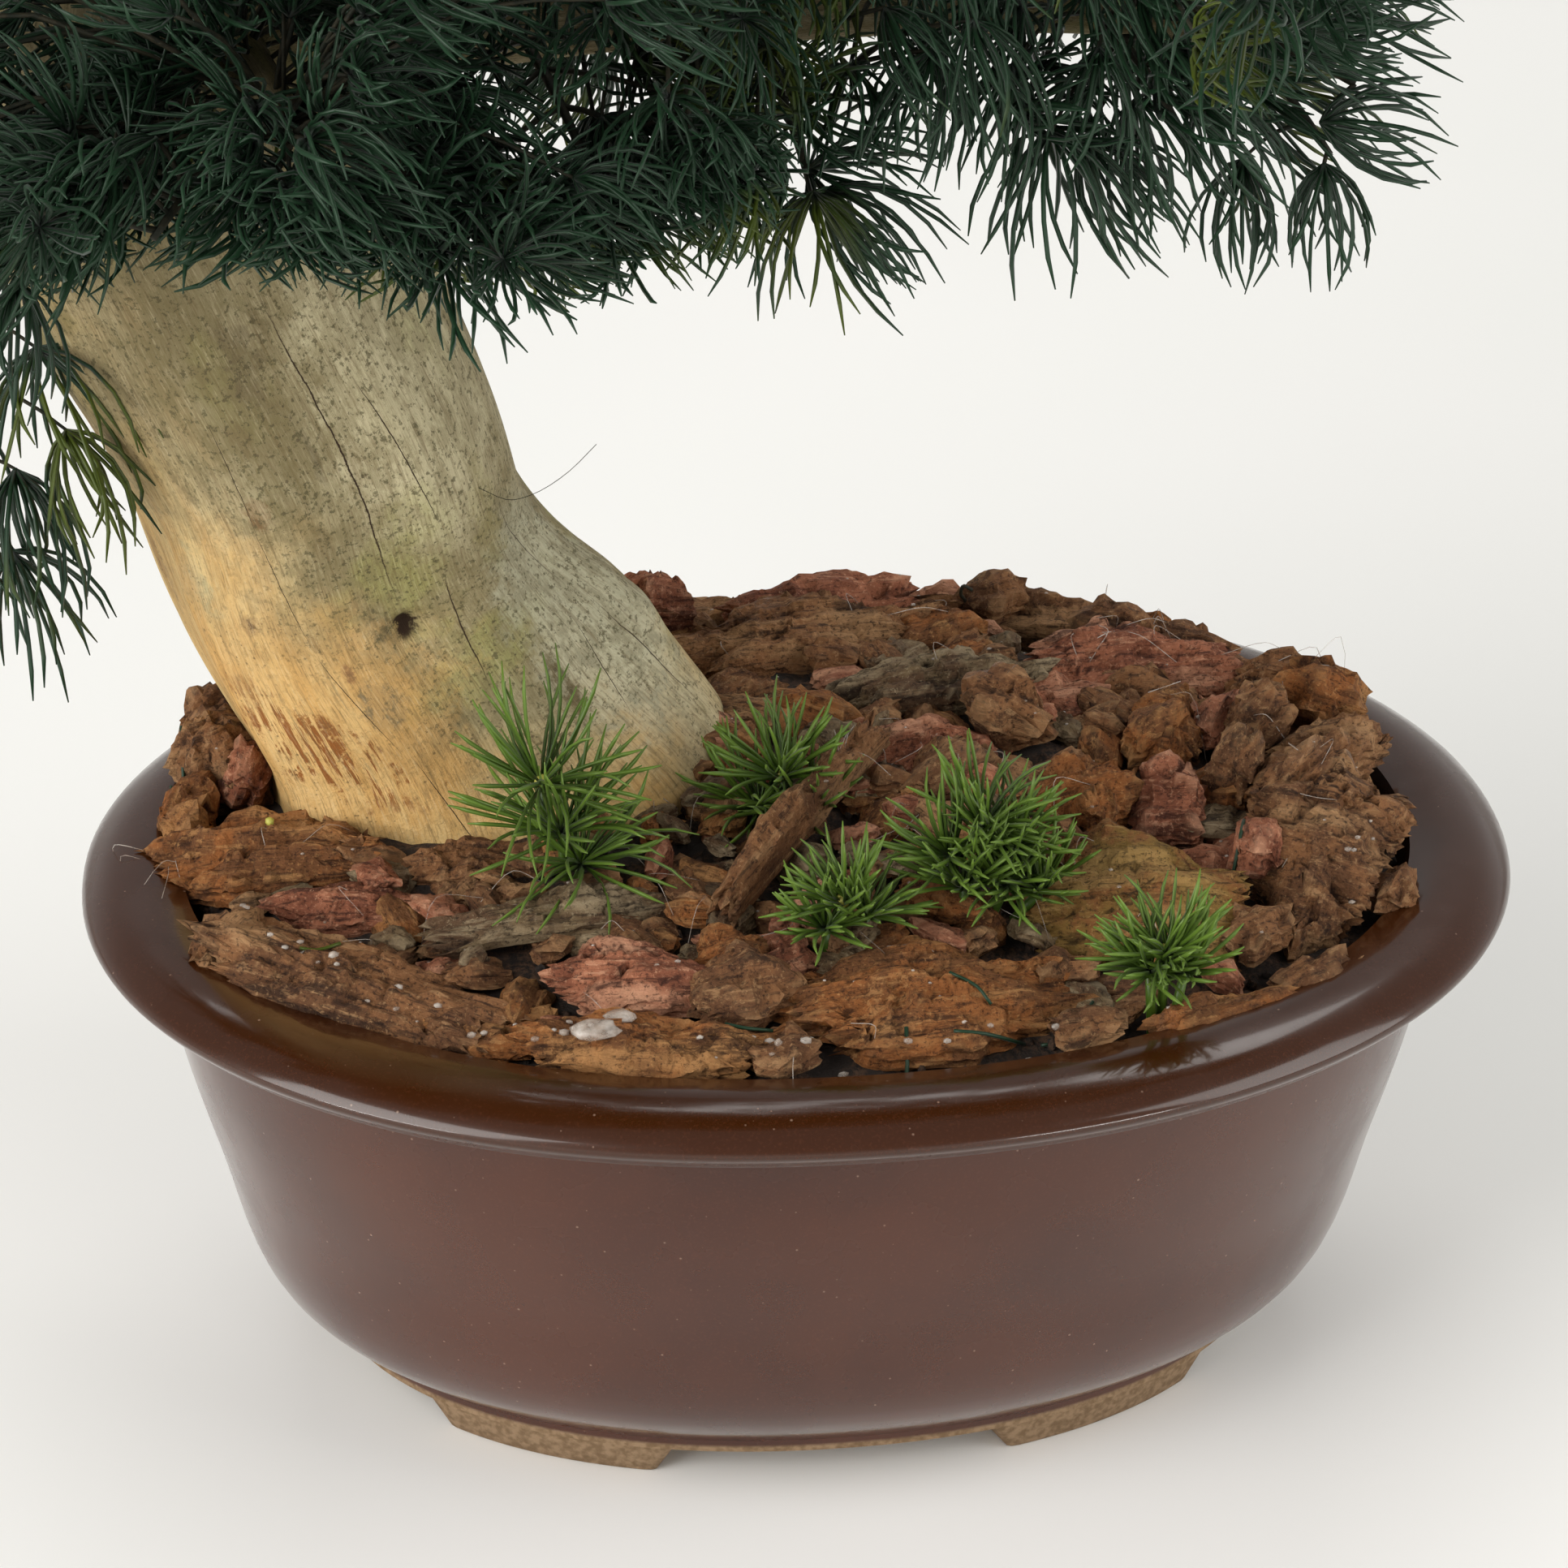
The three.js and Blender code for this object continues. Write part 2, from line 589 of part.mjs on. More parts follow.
// Ground sprigs: short fresh stems stuck into the bed beside the trunk and between the chips.
// Each row has the sprig's name, its foot, its tip, the needle length and its number of buds.

const SPRIGS = [
  ['sprig_by_trunk', [-42, -22], [-44, -24, 124], 23, 3],
  ['sprig_at_root', [5, -6], [6, -9, 119], 20, 2],
  ['sprig_large', [24, -38], [23, -40, 122], 24, 3],
  ['sprig_middle', [0, -46], [-2, -48, 111], 20, 2],
  ['sprig_right', [52, -66], [52, -68, 109], 20, 2],
];

function sprigStem([, [footX, footY], tip]) {
  const foot = new THREE.Vector3(footX, footY, bedHeight(footX, footY) - 9);
  return new THREE.LineCurve3(foot, new THREE.Vector3(...tip));
}

function sprigSolid(row, obstacles) {
  const [name, , , length, budCount] = row;
  const stem = sprigStem(row);
  let body = barAlong(stem, () => 1, 5, 1);
  place(name, stem.v1, stem.v2, 1);
  const blocked = (start, end) => {
    const probe = barAlong(new THREE.LineCurve3(start, end), () => 0.9, 3, 1);
    return obstacles.some((obstacle) => !probe.intersect(obstacle).isEmpty());
  };
  for (let i = 0; i < budCount; i += 1) {
    const centre = stem.getPoint(1 - (i * 6) / stem.getLength());
    const node = `${name} bud ${i}`;
    const pull = new THREE.Vector3(0, -0.1, 0.35);
    const shorter = length * (1 - 0.1 * i);
    const heading = stem.getTangent(1);
    body = body.add(budSolid({ node, stem: name, centre, heading, twig: 0, pull, length: shorter, blocked }));
  }
  return largestPiece(body);
}

// Assembly

const pot = potSolid(0);
const trunkRoom = trunkSocket();
const stemRooms = SPRIGS.map((row) => barAlong(sprigStem(row), () => 1 + GAP, 5, 1));
const potRoom = potSolid(GAP);

const chips = [];
const chipRooms = [];
for (const row of CHIPS) {
  let chip = chipSolid(row, 0).subtract(trunkRoom).subtract(potRoom);
  for (const room of [...chipRooms, ...stemRooms]) chip = chip.subtract(room);
  chips.push(largestPiece(chip));
  chipRooms.push(chipSolid(row, ROOM));
}

let bed = bedSolid().subtract(trunkRoom);
for (const room of [...chipRooms, ...stemRooms]) bed = bed.subtract(room);
bed = largestPiece(bed);

placeCurve('wood', TRUNK_AXIS, TRUNK_STEPS, (along) => trunkRadius(0, along) * 1.06);
for (const limb of Object.values(LIMBS)) {
  placeCurve('wood', limb.curve, 6, (along) => limbRadius(limb, along));
}

reseed(20);
const sprays = SPRAYS.map(([name, wood, share, tip]) => [name, spraySolid(name, wood, share, tip)]);
let wood = woodSolid();
for (const [, { hole }] of sprays) wood = wood.subtract(hole);

addMesh('pot', pot, GLAZE);
addMesh('gravel_bed', bed, GRAVEL);
addMesh('driftwood_trunk', largestPiece(wood), DRIFTWOOD);
CHIPS.forEach(([name], i) => addMesh(name, chips[i], BARK));
for (const row of SPRIGS) addMesh(row[0], sprigSolid(row, [...chips, bed, wood, pot]), SPRIG);
for (const [name, { body }] of sprays) addMesh(name, body, FERN);

export default tree;
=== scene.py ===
# %% [markdown]
# A preserved ming fern bonsai: soft fern needles wired onto a bleached driftwood trunk that
# stands in a glazed oval pot, among chips of pine bark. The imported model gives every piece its
# true place, so this lesson only makes finer pieces over it and gives them their finish.

# %% Load the frame
import json
import math
import random

import bmesh
import bpy
from mathutils import Euler, Matrix, Vector, noise
from mathutils.bvhtree import BVHTree

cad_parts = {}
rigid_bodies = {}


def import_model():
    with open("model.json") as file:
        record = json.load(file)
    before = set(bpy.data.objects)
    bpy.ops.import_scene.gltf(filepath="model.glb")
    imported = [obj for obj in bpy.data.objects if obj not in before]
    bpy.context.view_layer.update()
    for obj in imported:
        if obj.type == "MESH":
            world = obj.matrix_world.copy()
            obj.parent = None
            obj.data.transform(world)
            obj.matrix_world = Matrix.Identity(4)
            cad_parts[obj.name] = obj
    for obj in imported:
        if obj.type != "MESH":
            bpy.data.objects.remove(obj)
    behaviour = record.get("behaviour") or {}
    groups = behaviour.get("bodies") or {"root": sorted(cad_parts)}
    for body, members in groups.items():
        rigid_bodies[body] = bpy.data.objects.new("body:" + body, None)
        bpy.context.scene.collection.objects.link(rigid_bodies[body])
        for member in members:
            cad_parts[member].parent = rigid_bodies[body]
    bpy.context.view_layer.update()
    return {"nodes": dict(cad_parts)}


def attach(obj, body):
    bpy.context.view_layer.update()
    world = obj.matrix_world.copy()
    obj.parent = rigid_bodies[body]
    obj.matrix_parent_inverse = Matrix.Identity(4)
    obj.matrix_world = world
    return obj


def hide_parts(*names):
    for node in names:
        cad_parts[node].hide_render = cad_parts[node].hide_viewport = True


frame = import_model()
print("nodes in the frame:", len(frame["nodes"]))

# %% [markdown]
# The camera stands where the photographer stood, a little left of the middle and 28 degrees
# above the table. A long lens keeps the oval rim from swelling towards the viewer.

# %% Camera
MM = 0.001
CAMERA_PLACE = Vector((-88.6, -767.8, 515.5)) * MM
CAMERA_AIM = Vector((-2.46, 0.28, 105.38)) * MM
CAMERA_LENS = 115.07

camera_data = bpy.data.cameras.new("camera")
camera_data.lens = CAMERA_LENS
camera_data.sensor_width = 36
camera_data.sensor_fit = "HORIZONTAL"
camera_data.clip_start = 0.05
camera = bpy.data.objects.new("camera", camera_data)
camera.location = CAMERA_PLACE
camera.rotation_euler = (CAMERA_AIM - CAMERA_PLACE).to_track_quat("-Z", "Y").to_euler()
bpy.context.scene.collection.objects.link(camera)
bpy.context.scene.camera = camera
SIGHT = camera.rotation_euler.to_matrix().transposed()
DISTANCE = (CAMERA_AIM - CAMERA_PLACE).length


def seen(place):
    """How far right of the aim and above it a place shows, in metres at the aim's distance."""
    local = SIGHT @ (place - CAMERA_PLACE)
    return local.x * DISTANCE / -local.z, local.y * DISTANCE / -local.z


print("camera distance, m:", round(DISTANCE, 3))

# %% [markdown]
# Materials are networks of small nodes. These helpers add one node each and hand back its
# output, so that a finish reads from top to bottom like a recipe.

# %% Node helpers


def colour(red, green, blue):
    """A linear colour from the 0 to 255 values that a colour picker shows."""
    def linear(value):
        share = value / 255
        return share / 12.92 if share <= 0.04045 else ((share + 0.055) / 1.055) ** 2.4
    return (linear(red), linear(green), linear(blue), 1.0)


def feed(tree, socket, value):
    """Links a socket to an output, or sets it to a plain value."""
    if isinstance(value, bpy.types.NodeSocket):
        tree.links.new(value, socket)
    else:
        socket.default_value = value


def calculate(tree, operation, first, second=0.0, third=0.0):
    node = tree.nodes.new("ShaderNodeMath")
    node.operation = operation
    for socket, value in zip(node.inputs, (first, second, third)):
        feed(tree, socket, value)
    return node.outputs[0]


def stretch(tree, vector, scale, place=(0.0, 0.0, 0.0)):
    node = tree.nodes.new("ShaderNodeMapping")
    node.inputs["Scale"].default_value = scale
    node.inputs["Location"].default_value = place
    tree.links.new(vector, node.inputs["Vector"])
    return node.outputs[0]


def cloudy(tree, vector, scale, detail=4.0, rough=0.55, warp=0.0):
    node = tree.nodes.new("ShaderNodeTexNoise")
    feed(tree, node.inputs["Scale"], scale)
    node.inputs["Detail"].default_value = detail
    node.inputs["Roughness"].default_value = rough
    node.inputs["Distortion"].default_value = warp
    tree.links.new(vector, node.inputs["Vector"])
    return node.outputs["Fac"]


def between(tree, value, low, high, start=0.0, end=1.0):
    """Rises smoothly from start to end as the value goes from low to high."""
    node = tree.nodes.new("ShaderNodeMapRange")
    node.interpolation_type = "SMOOTHSTEP"
    feed(tree, node.inputs["Value"], value)
    node.inputs["From Min"].default_value = low
    node.inputs["From Max"].default_value = high
    node.inputs["To Min"].default_value = start
    node.inputs["To Max"].default_value = end
    return node.outputs["Result"]


def mixed(tree, share, first, second):
    node = tree.nodes.new("ShaderNodeMix")
    node.data_type = "RGBA"
    feed(tree, node.inputs[0], share)
    feed(tree, node.inputs[6], first)
    feed(tree, node.inputs[7], second)
    return node.outputs[2]


def layered(tree, body, *layers):
    """Lays tints over a body. Each layer: mask, where it starts and is full, share and tint."""
    for mask, low, high, share, tint in layers:
        body = mixed(tree, between(tree, mask, low, high, 0.0, share), body, colour(*tint))
    return body


def attribute(tree, name):
    node = tree.nodes.new("ShaderNodeAttribute")
    node.attribute_name = name
    return node


def object_place(tree):
    return tree.nodes.new("ShaderNodeTexCoord").outputs["Object"]


def raised(tree, height, distance, strength, below):
    node = tree.nodes.new("ShaderNodeBump")
    node.inputs["Distance"].default_value = distance
    node.inputs["Strength"].default_value = strength
    tree.links.new(height, node.inputs["Height"])
    if below is not None:
        tree.links.new(below, node.inputs["Normal"])
    return node.outputs["Normal"]


def roughen(tree, shader, *steps):
    """Raises the surface by each step in turn. Each step: height, distance in mm, strength."""
    below = None
    for height, distance, strength in steps:
        below = raised(tree, height, distance * MM, strength, below)
    feed(tree, shader.inputs["Normal"], below)


def new_material(name, roughness=0.5, specular=0.5):
    """A material with one Principled shader, and its node tree and that shader."""
    material = bpy.data.materials.new(name)
    material.use_nodes = True
    shader = material.node_tree.nodes["Principled BSDF"]
    shader.inputs["Roughness"].default_value = roughness
    shader.inputs["Specular IOR Level"].default_value = specular
    return material, material.node_tree, shader


# %% [markdown]
# Some effects return on several finishes. Long fibres show on the bark and on the driftwood, and
# fine specks on the glaze and on the driftwood. Each is one node group with named sockets,
# placed wherever it is needed with its own values.

# %% Shared node groups


def new_group(name, inputs, outputs):
    group = bpy.data.node_groups.new(name, "ShaderNodeTree")
    for label, kind, value in inputs:
        socket = group.interface.new_socket(label, in_out="INPUT", socket_type=kind)
        if value is not None:
            socket.default_value = value
    for label in outputs:
        group.interface.new_socket(label, in_out="OUTPUT", socket_type="NodeSocketFloat")
    start = group.nodes.new("NodeGroupInput")
    end = group.nodes.new("NodeGroupOutput")
    return group, start.outputs, end.inputs


def place_group(tree, group, **values):
    node = tree.nodes.new("ShaderNodeGroup")
    node.node_tree = group
    for label, value in values.items():
        feed(tree, node.inputs[label], value)
    return node.outputs


def fibre_group():
    """Long thin fibres along X of the place it reads, and the shreds that they break into."""
    group, given, result = new_group(
        "long_fibres",
        [("Place", "NodeSocketVector", None), ("Scale", "NodeSocketFloat", 300.0)],
        ["Fibre", "Shreds"],
    )
    along = stretch(group, given["Place"], (0.07, 1.0, 1.0))
    fibre = cloudy(group, along, given["Scale"], 7.0, 0.68)
    shred_scale = calculate(group, "MULTIPLY", given["Scale"], 0.35)
    short = stretch(group, given["Place"], (0.3, 1.0, 1.0))
    shreds = cloudy(group, short, shred_scale, 5.0, 0.62)
    group.links.new(fibre, result["Fibre"])
    group.links.new(shreds, result["Shreds"])
    return group


def speck_group():
    """Scattered round specks: 1 in a speck, 0 elsewhere."""
    group, given, result = new_group(
        "specks",
        [
            ("Place", "NodeSocketVector", None),
            ("Scale", "NodeSocketFloat", 400.0),
            ("Size", "NodeSocketFloat", 0.12),
        ],
        ["Speck"],
    )
    cells = group.nodes.new("ShaderNodeTexVoronoi")
    group.links.new(given["Place"], cells.inputs["Vector"])
    group.links.new(given["Scale"], cells.inputs["Scale"])
    chance = group.nodes.new("ShaderNodeSeparateColor")
    group.links.new(cells.outputs["Color"], chance.inputs[0])
    radius = calculate(group, "MULTIPLY", given["Size"], chance.outputs[0])
    inside = calculate(group, "SUBTRACT", radius, cells.outputs["Distance"])
    sharp = calculate(group, "MULTIPLY", inside, 12.0)
    node = group.nodes.new("ShaderNodeClamp")
    group.links.new(sharp, node.inputs["Value"])
    group.links.new(node.outputs[0], result["Speck"])
    return group


LONG_FIBRES = fibre_group()
SPECKS = speck_group()
print("shared groups:", LONG_FIBRES.name, SPECKS.name)

# %% [markdown]
# Every piece here ends the same way: its bmesh becomes one object at the origin, with its
# materials and a place on the body, and the solids that it stands for are hidden.

# %% Mesh helpers


def settled(bm, name):
    """The bmesh as a mesh. The bmesh itself is freed."""
    mesh = bpy.data.meshes.new(name)
    bm.to_mesh(mesh)
    bm.free()
    return mesh


def finish_piece(bm, name, materials, replaced=(), crease=None):
    """Turns the bmesh into a named object that rides on the part."""
    mesh = settled(bm, name)
    mesh.shade_smooth()
    if crease is not None:
        mesh.set_sharp_from_angle(angle=math.radians(crease))
    for material in materials:
        mesh.materials.append(material)
    piece = bpy.data.objects.new(name, mesh)
    bpy.context.scene.collection.objects.link(piece)
    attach(piece, "root")
    if replaced:
        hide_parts(*replaced)
    return piece


def marked_bmesh(mark):
    """An empty bmesh, and the named vector that its points carry for the material to read."""
    bm = bmesh.new()
    return bm, bm.verts.layers.float_vector.new(mark)


def add_copy(bm, mesh, matrix):
    """Adds a copy of a finished mesh, moved by the matrix."""
    copy = mesh.copy()
    copy.transform(matrix)
    bm.from_mesh(copy)
    bpy.data.meshes.remove(copy)


def pour(bm, scratch, matrix=Matrix.Identity(4), material=0):
    """Adds a scratch bmesh, moved by the matrix, in one of the piece's materials."""
    for face in scratch.faces:
        face.material_index = material
    mesh = settled(scratch, "scratch")
    add_copy(bm, mesh, matrix)
    bpy.data.meshes.remove(mesh)


def mix(first, second, share):
    return first + (second - first) * share


def places(rows):
    return [Vector(row) * MM for row in rows]


def radii_of(*values):
    return [value * MM for value in values]


def wave_at(x, y, z):
    """Smooth noise at a place, from -1 to 1."""
    return noise.noise(Vector((x, y, z)))


def curve_place(points, share):
    """The place at a share of the way along a centripetal Catmull-Rom curve."""
    last = len(points) - 1
    place = min(max(share, 0.0), 1.0) * last
    index = min(int(place), last - 1)
    weight = place - index
    start, end = points[index], points[index + 1]
    before = points[index - 1] if index > 0 else start * 2 - end
    after = points[index + 2] if index + 2 <= last else end * 2 - start
    step0 = (start - before).length ** 0.5
    step1 = (end - start).length ** 0.5
    step2 = (after - end).length ** 0.5
    leave = (start - before) / step0 - (end - before) / (step0 + step1) + (end - start) / step1
    arrive = (end - start) / step1 - (after - start) / (step1 + step2) + (after - end) / step2
    leave = leave * step1
    arrive = arrive * step1
    squared = weight * weight
    bend = (end - start) * 3 - leave * 2 - arrive
    twist = (start - end) * 2 + leave + arrive
    return start + leave * weight + bend * squared + twist * squared * weight


def sampled(points, count):
    return [curve_place(points, i / (count - 1)) for i in range(count)]


def grow_tube(bm, points, radii, sides):
    """A closed tube through the points, made by extruding a ring. Returns its rings."""
    heading = (points[1] - points[0]).normalized()
    turn = heading.to_track_quat("Z", "Y").to_matrix().to_4x4()
    start = Matrix.Translation(points[0]) @ turn
    made = bmesh.ops.create_circle(
        bm, cap_ends=True, segments=sides, radius=radii[0], matrix=start
    )
    ring = made["verts"]
    edges = list(dict.fromkeys(edge for vert in ring for edge in vert.link_edges))
    rings = [ring]
    for i in range(1, len(points)):
        made = bmesh.ops.extrude_edge_only(bm, edges=edges)["geom"]
        ring = [item for item in made if isinstance(item, bmesh.types.BMVert)]
        edges = [item for item in made if isinstance(item, bmesh.types.BMEdge)]
        ahead = points[min(i + 1, len(points) - 1)] - points[i - 1]
        next_heading = ahead.normalized()
        swing = heading.rotation_difference(next_heading).to_matrix().to_4x4()
        size = Matrix.Scale(radii[i] / radii[i - 1], 4)
        move = Matrix.Translation(points[i]) @ swing @ size @ Matrix.Translation(-points[i - 1])
        bmesh.ops.transform(bm, matrix=move, verts=ring)
        edges = [edge for edge in edges if edge.verts[0] in ring and edge.verts[1] in ring]
        heading = next_heading
        rings.append(ring)
    bmesh.ops.holes_fill(bm, edges=edges, sides=0)
    return rings


# %% [markdown]
# The pot is a wheel-thrown form pressed into an oval. On screen that is a profile, spun round
# the middle, whose circles are then squeezed into the pot's own plan. Spinning keeps the rim's
# roll even all the way round, which the long reflections on the glaze would otherwise betray.

# %% Pot shape
RIM_LENGTH = 250 * MM
RIM_WIDTH = 200 * MM
PLAN_EXPONENT = 2.11
FOOT_HEIGHT = 6.7 * MM
POT_STEPS = 168
POT_FLOOR = 14

WALL = [(85.7, 9.4), (97.2, 21), (104.3, 45), (110.3, 69), (112.6, 86)]
INNER_WALL = [(106, 86), (104.2, 69), (98.2, 45), (90, 24), (78, 16)]
RIM = [(122.2, 88.2), (125, 91.8), (121, 95.2), (114, 96.6), (107.4, 95.6)]


def plan_point(reach, angle):
    """The plan of one level of the pot: an oval a little squarer than an ellipse."""
    inset = RIM_LENGTH / 2 - reach
    share = min(max(reach / (60 * MM), 0.0), 1.0)
    share = share * share * (3 - 2 * share)
    half_width = mix(reach * 0.6, RIM_WIDTH / 2 - inset, share)
    power = 2 / PLAN_EXPONENT
    across, deep = math.cos(angle), math.sin(angle)
    x = reach * math.copysign(abs(across) ** power, across)
    y = half_width * math.copysign(abs(deep) ** power, deep)
    return x, y


def profile_curve(pairs, count):
    return sampled(places((reach, 0, height) for reach, height in pairs), count)


def spin_oval(bm, outline, steps):
    """Spins the outline once round and presses each circle into the pot's plan."""
    verts = [bm.verts.new(place) for place in outline]
    edges = [bm.edges.new(pair) for pair in zip(verts, verts[1:])]
    bmesh.ops.spin(
        bm, geom=verts + edges, cent=(0, 0, 0), axis=(0, 0, 1),
        angle=2 * math.pi, steps=steps, use_merge=True,
    )
    for vert in bm.verts:
        reach = math.hypot(vert.co.x, vert.co.y)
        if reach > 1e-6:
            vert.co.x, vert.co.y = plan_point(reach, math.atan2(vert.co.y, vert.co.x))
    bmesh.ops.remove_doubles(bm, verts=bm.verts, dist=1e-6)
    bmesh.ops.recalc_face_normals(bm, faces=bm.faces)


FOOT_ANGLES = [(-72, -35), (-145, -108), (35, 72), (108, 145)]
FOOT_OUTER = (82.6 * MM, 84.9 * MM)
FOOT_INNER = 69 * MM
FOOT_SLANT = 3
FOOT_OVERLAP = 0.6 * MM
FOOT_CUTS = 14


def foot_block(start, end):
    """One curved foot, from a bevelled cube bent round the base."""
    bm = bmesh.new()
    bmesh.ops.create_cube(bm, size=1)
    bmesh.ops.bevel(
        bm, geom=bm.edges[:], offset=0.045, segments=2, profile=0.5,
        affect="EDGES", material=-1,
    )
    for cut in range(1, FOOT_CUTS):
        bmesh.ops.bisect_plane(
            bm, geom=bm.verts[:] + bm.edges[:] + bm.faces[:],
            plane_co=(cut / FOOT_CUTS - 0.5, 0, 0), plane_no=(1, 0, 0),
        )
    for vert in bm.verts:
        rise = vert.co.z + 0.5
        slant = FOOT_SLANT * (1 - rise)
        angle = mix(start + slant, end - slant, vert.co.x + 0.5)
        outer = mix(FOOT_OUTER[0], FOOT_OUTER[1], rise)
        reach = mix(FOOT_INNER, outer, vert.co.y + 0.5)
        x, y = plan_point(reach, math.radians(angle))
        vert.co = (x, y, rise * (FOOT_HEIGHT + FOOT_OVERLAP))
    bmesh.ops.recalc_face_normals(bm, faces=bm.faces)
    return bm


# %% [markdown]
# The glaze is one thick brown coat over pale clay, its colour a little darker on the rim.
# The rim mirrors the dim room above, and the wall mirrors the pale table and looks milky: the
# shader's coat does that by itself. Only the feet and the band above them are bare clay.

# %% Pot material
GLAZE_BOTTOM = 8.6 * MM
GLAZE_EDGE = 0.9 * MM
# The glaze's colour is darker on the rim, from the first height up to the second
RIM_DARK_FROM, RIM_DARK_FULL = 84 * MM, 90 * MM
GLAZE_COAT = 0.55


def glaze_material():
    material, tree, shader = new_material("brown_glaze", roughness=0.2, specular=0.25)
    place = object_place(tree)
    height = tree.nodes.new("ShaderNodeSeparateXYZ")
    tree.links.new(place, height.inputs[0])
    glazed = between(tree, height.outputs["Z"], GLAZE_BOTTOM - GLAZE_EDGE, GLAZE_BOTTOM)
    clouds = cloudy(tree, place, 26.0, 3.0)
    fine = cloudy(tree, place, 1900.0, 2.0)
    pin = place_group(tree, SPECKS, Place=place, Scale=420.0, Size=0.12)["Speck"]
    dark = place_group(tree, SPECKS, Place=place, Scale=170.0, Size=0.08)["Speck"]
    body = layered(
        tree, colour(60, 26, 10),
        (clouds, 0.3, 0.7, 1.0, (71, 33, 14)),
        (height.outputs["Z"], RIM_DARK_FROM, RIM_DARK_FULL, 1.0, (55, 25, 5)),
        (fine, 0.5, 0.8, 0.25, (98, 54, 34)),
    )
    body = mixed(tree, calculate(tree, "MULTIPLY", pin, 0.7), body, colour(150, 122, 104))
    body = mixed(tree, dark, body, colour(30, 15, 12))
    sand = cloudy(tree, place, 700.0, 5.0)
    clay = layered(tree, colour(112, 90, 66), (sand, 0.35, 0.65, 1.0, (142, 118, 92)))
    feed(tree, shader.inputs["Base Color"], mixed(tree, glazed, clay, body))
    smooth = between(tree, cloudy(tree, place, 60.0, 4.0), 0.3, 0.7, 0.2, 0.34)
    bare = calculate(tree, "SUBTRACT", 1.0, glazed)
    feed(tree, shader.inputs["Roughness"], calculate(tree, "MAXIMUM", smooth, bare))
    feed(tree, shader.inputs["Coat Weight"], calculate(tree, "MULTIPLY", glazed, GLAZE_COAT))
    shader.inputs["Coat Roughness"].default_value = 0.1
    shader.inputs["Coat IOR"].default_value = 1.55
    grain = calculate(tree, "MULTIPLY", sand, bare)
    roughen(tree, shader, (grain, 0.25, 1.0), (cloudy(tree, place, 38.0, 2.0), 0.2, 0.25))
    return material


# %% Make the pot
bm = bmesh.new()
outline = places([(0, 0, 6.7), (60, 0, 6.7), (84.9, 0, 6.7), (85.5, 0, 7.0)])
outline += profile_curve(WALL, 26)
outline += places([(113.0, 0, 87.0), (115.5, 0, 87.6)])
outline += profile_curve(RIM, 22)
outline += profile_curve(INNER_WALL, 12)
outline += places([(66, 0, POT_FLOOR), (0, 0, POT_FLOOR)])
spin_oval(bm, outline, POT_STEPS)
for start_angle, end_angle in FOOT_ANGLES:
    pour(bm, foot_block(start_angle, end_angle))
pot = finish_piece(bm, "glazed_pot", [glaze_material()], ["pot"], crease=40)
print("pot faces:", len(pot.data.polygons))

# %% [markdown]
# Under the bark lies a bed of dark grit that the maker set with clear glue. Only slits of it
# show, so it is a spun and pressed mound with a rough top, strewn with a few hundred stones.

# %% Gravel bed
BED_RIM = 91
BED_DOME = 8
BED_SLOPE = 0.12
BED_REACH = 104.6
BED_BASE = 60
BED_TOP = 90
PEBBLES = 700


def bed_height(x, y):
    """Height of the bed's top at a place, all in metres."""
    reach = min(1.0, math.hypot(x / 0.105, y / 0.08))
    dome = BED_DOME * (1 - reach ** 2.5)
    slope = BED_SLOPE * (y / MM + 60) * (1 - reach ** 4)
    return (BED_RIM + dome + slope) * MM


def gravel_material():
    material, tree, shader = new_material("glued_gravel", roughness=0.5)
    place = object_place(tree)
    crumbs = cloudy(tree, place, 900.0, 6.0, 0.7)
    clouds = cloudy(tree, place, 160.0)
    stone = layered(
        tree, colour(34, 26, 20),
        (crumbs, 0.4, 0.6, 1.0, (98, 70, 50)),
        (clouds, 0.4, 0.6, 1.0, (48, 38, 32)),
    )
    feed(tree, shader.inputs["Base Color"], stone)
    wet = between(tree, cloudy(tree, place, 90.0, 3.0), 0.35, 0.5, 0.5, 0.95)
    feed(tree, shader.inputs["Roughness"], wet)
    roughen(tree, shader, (crumbs, 2.0, 1.0))
    return material


bm = bmesh.new()
bed_outline = places([(0, 0, BED_BASE), (100.8, 0, BED_BASE), (BED_REACH, 0, 85)])
bed_outline += places((mix(BED_REACH, 0, i / 30), 0, BED_TOP) for i in range(31))
spin_oval(bm, bed_outline, 96)
for vert in bm.verts:
    if vert.co.z > (BED_TOP - 2) * MM:
        rough = noise.noise(vert.co * 260) * 1.2 * MM + noise.noise(vert.co * 700) * 0.9 * MM
        vert.co.z = bed_height(vert.co.x, vert.co.y) + rough
pick = random.Random(5)
stone = bmesh.new()
bmesh.ops.create_icosphere(stone, subdivisions=1, radius=1)
pebble = settled(stone, "pebble")
for i in range(PEBBLES):
    angle = pick.uniform(0, 2 * math.pi)
    reach = (105.5 - 95 * pick.random() ** 1.4) * MM
    x, y = plan_point(reach, angle)
    size = pick.uniform(0.6, 1.7) * MM
    turn = Euler([pick.uniform(0, 6) for _ in range(3)]).to_matrix().to_4x4()
    squash = Matrix.Diagonal((size, size * pick.uniform(0.6, 1), size * pick.uniform(0.5, 0.9), 1))
    spot = Matrix.Translation((x, y, bed_height(x, y) + 0.4 * size))
    add_copy(bm, pebble, spot @ turn @ squash)
bpy.data.meshes.remove(pebble)
bed = finish_piece(bm, "gravel_with_stones", [gravel_material()], ["gravel_bed"], crease=30)
print("bed faces:", len(bed.data.polygons))

# %% [markdown]
# The trunk is one bleached root of driftwood that leans left out of the pot. A flat grid,
# rolled round the trunk's own axis, gives it. Each point keeps where it lies on the straightened
# trunk as an attribute, so that the grain, the cracks and the stains follow the bend.

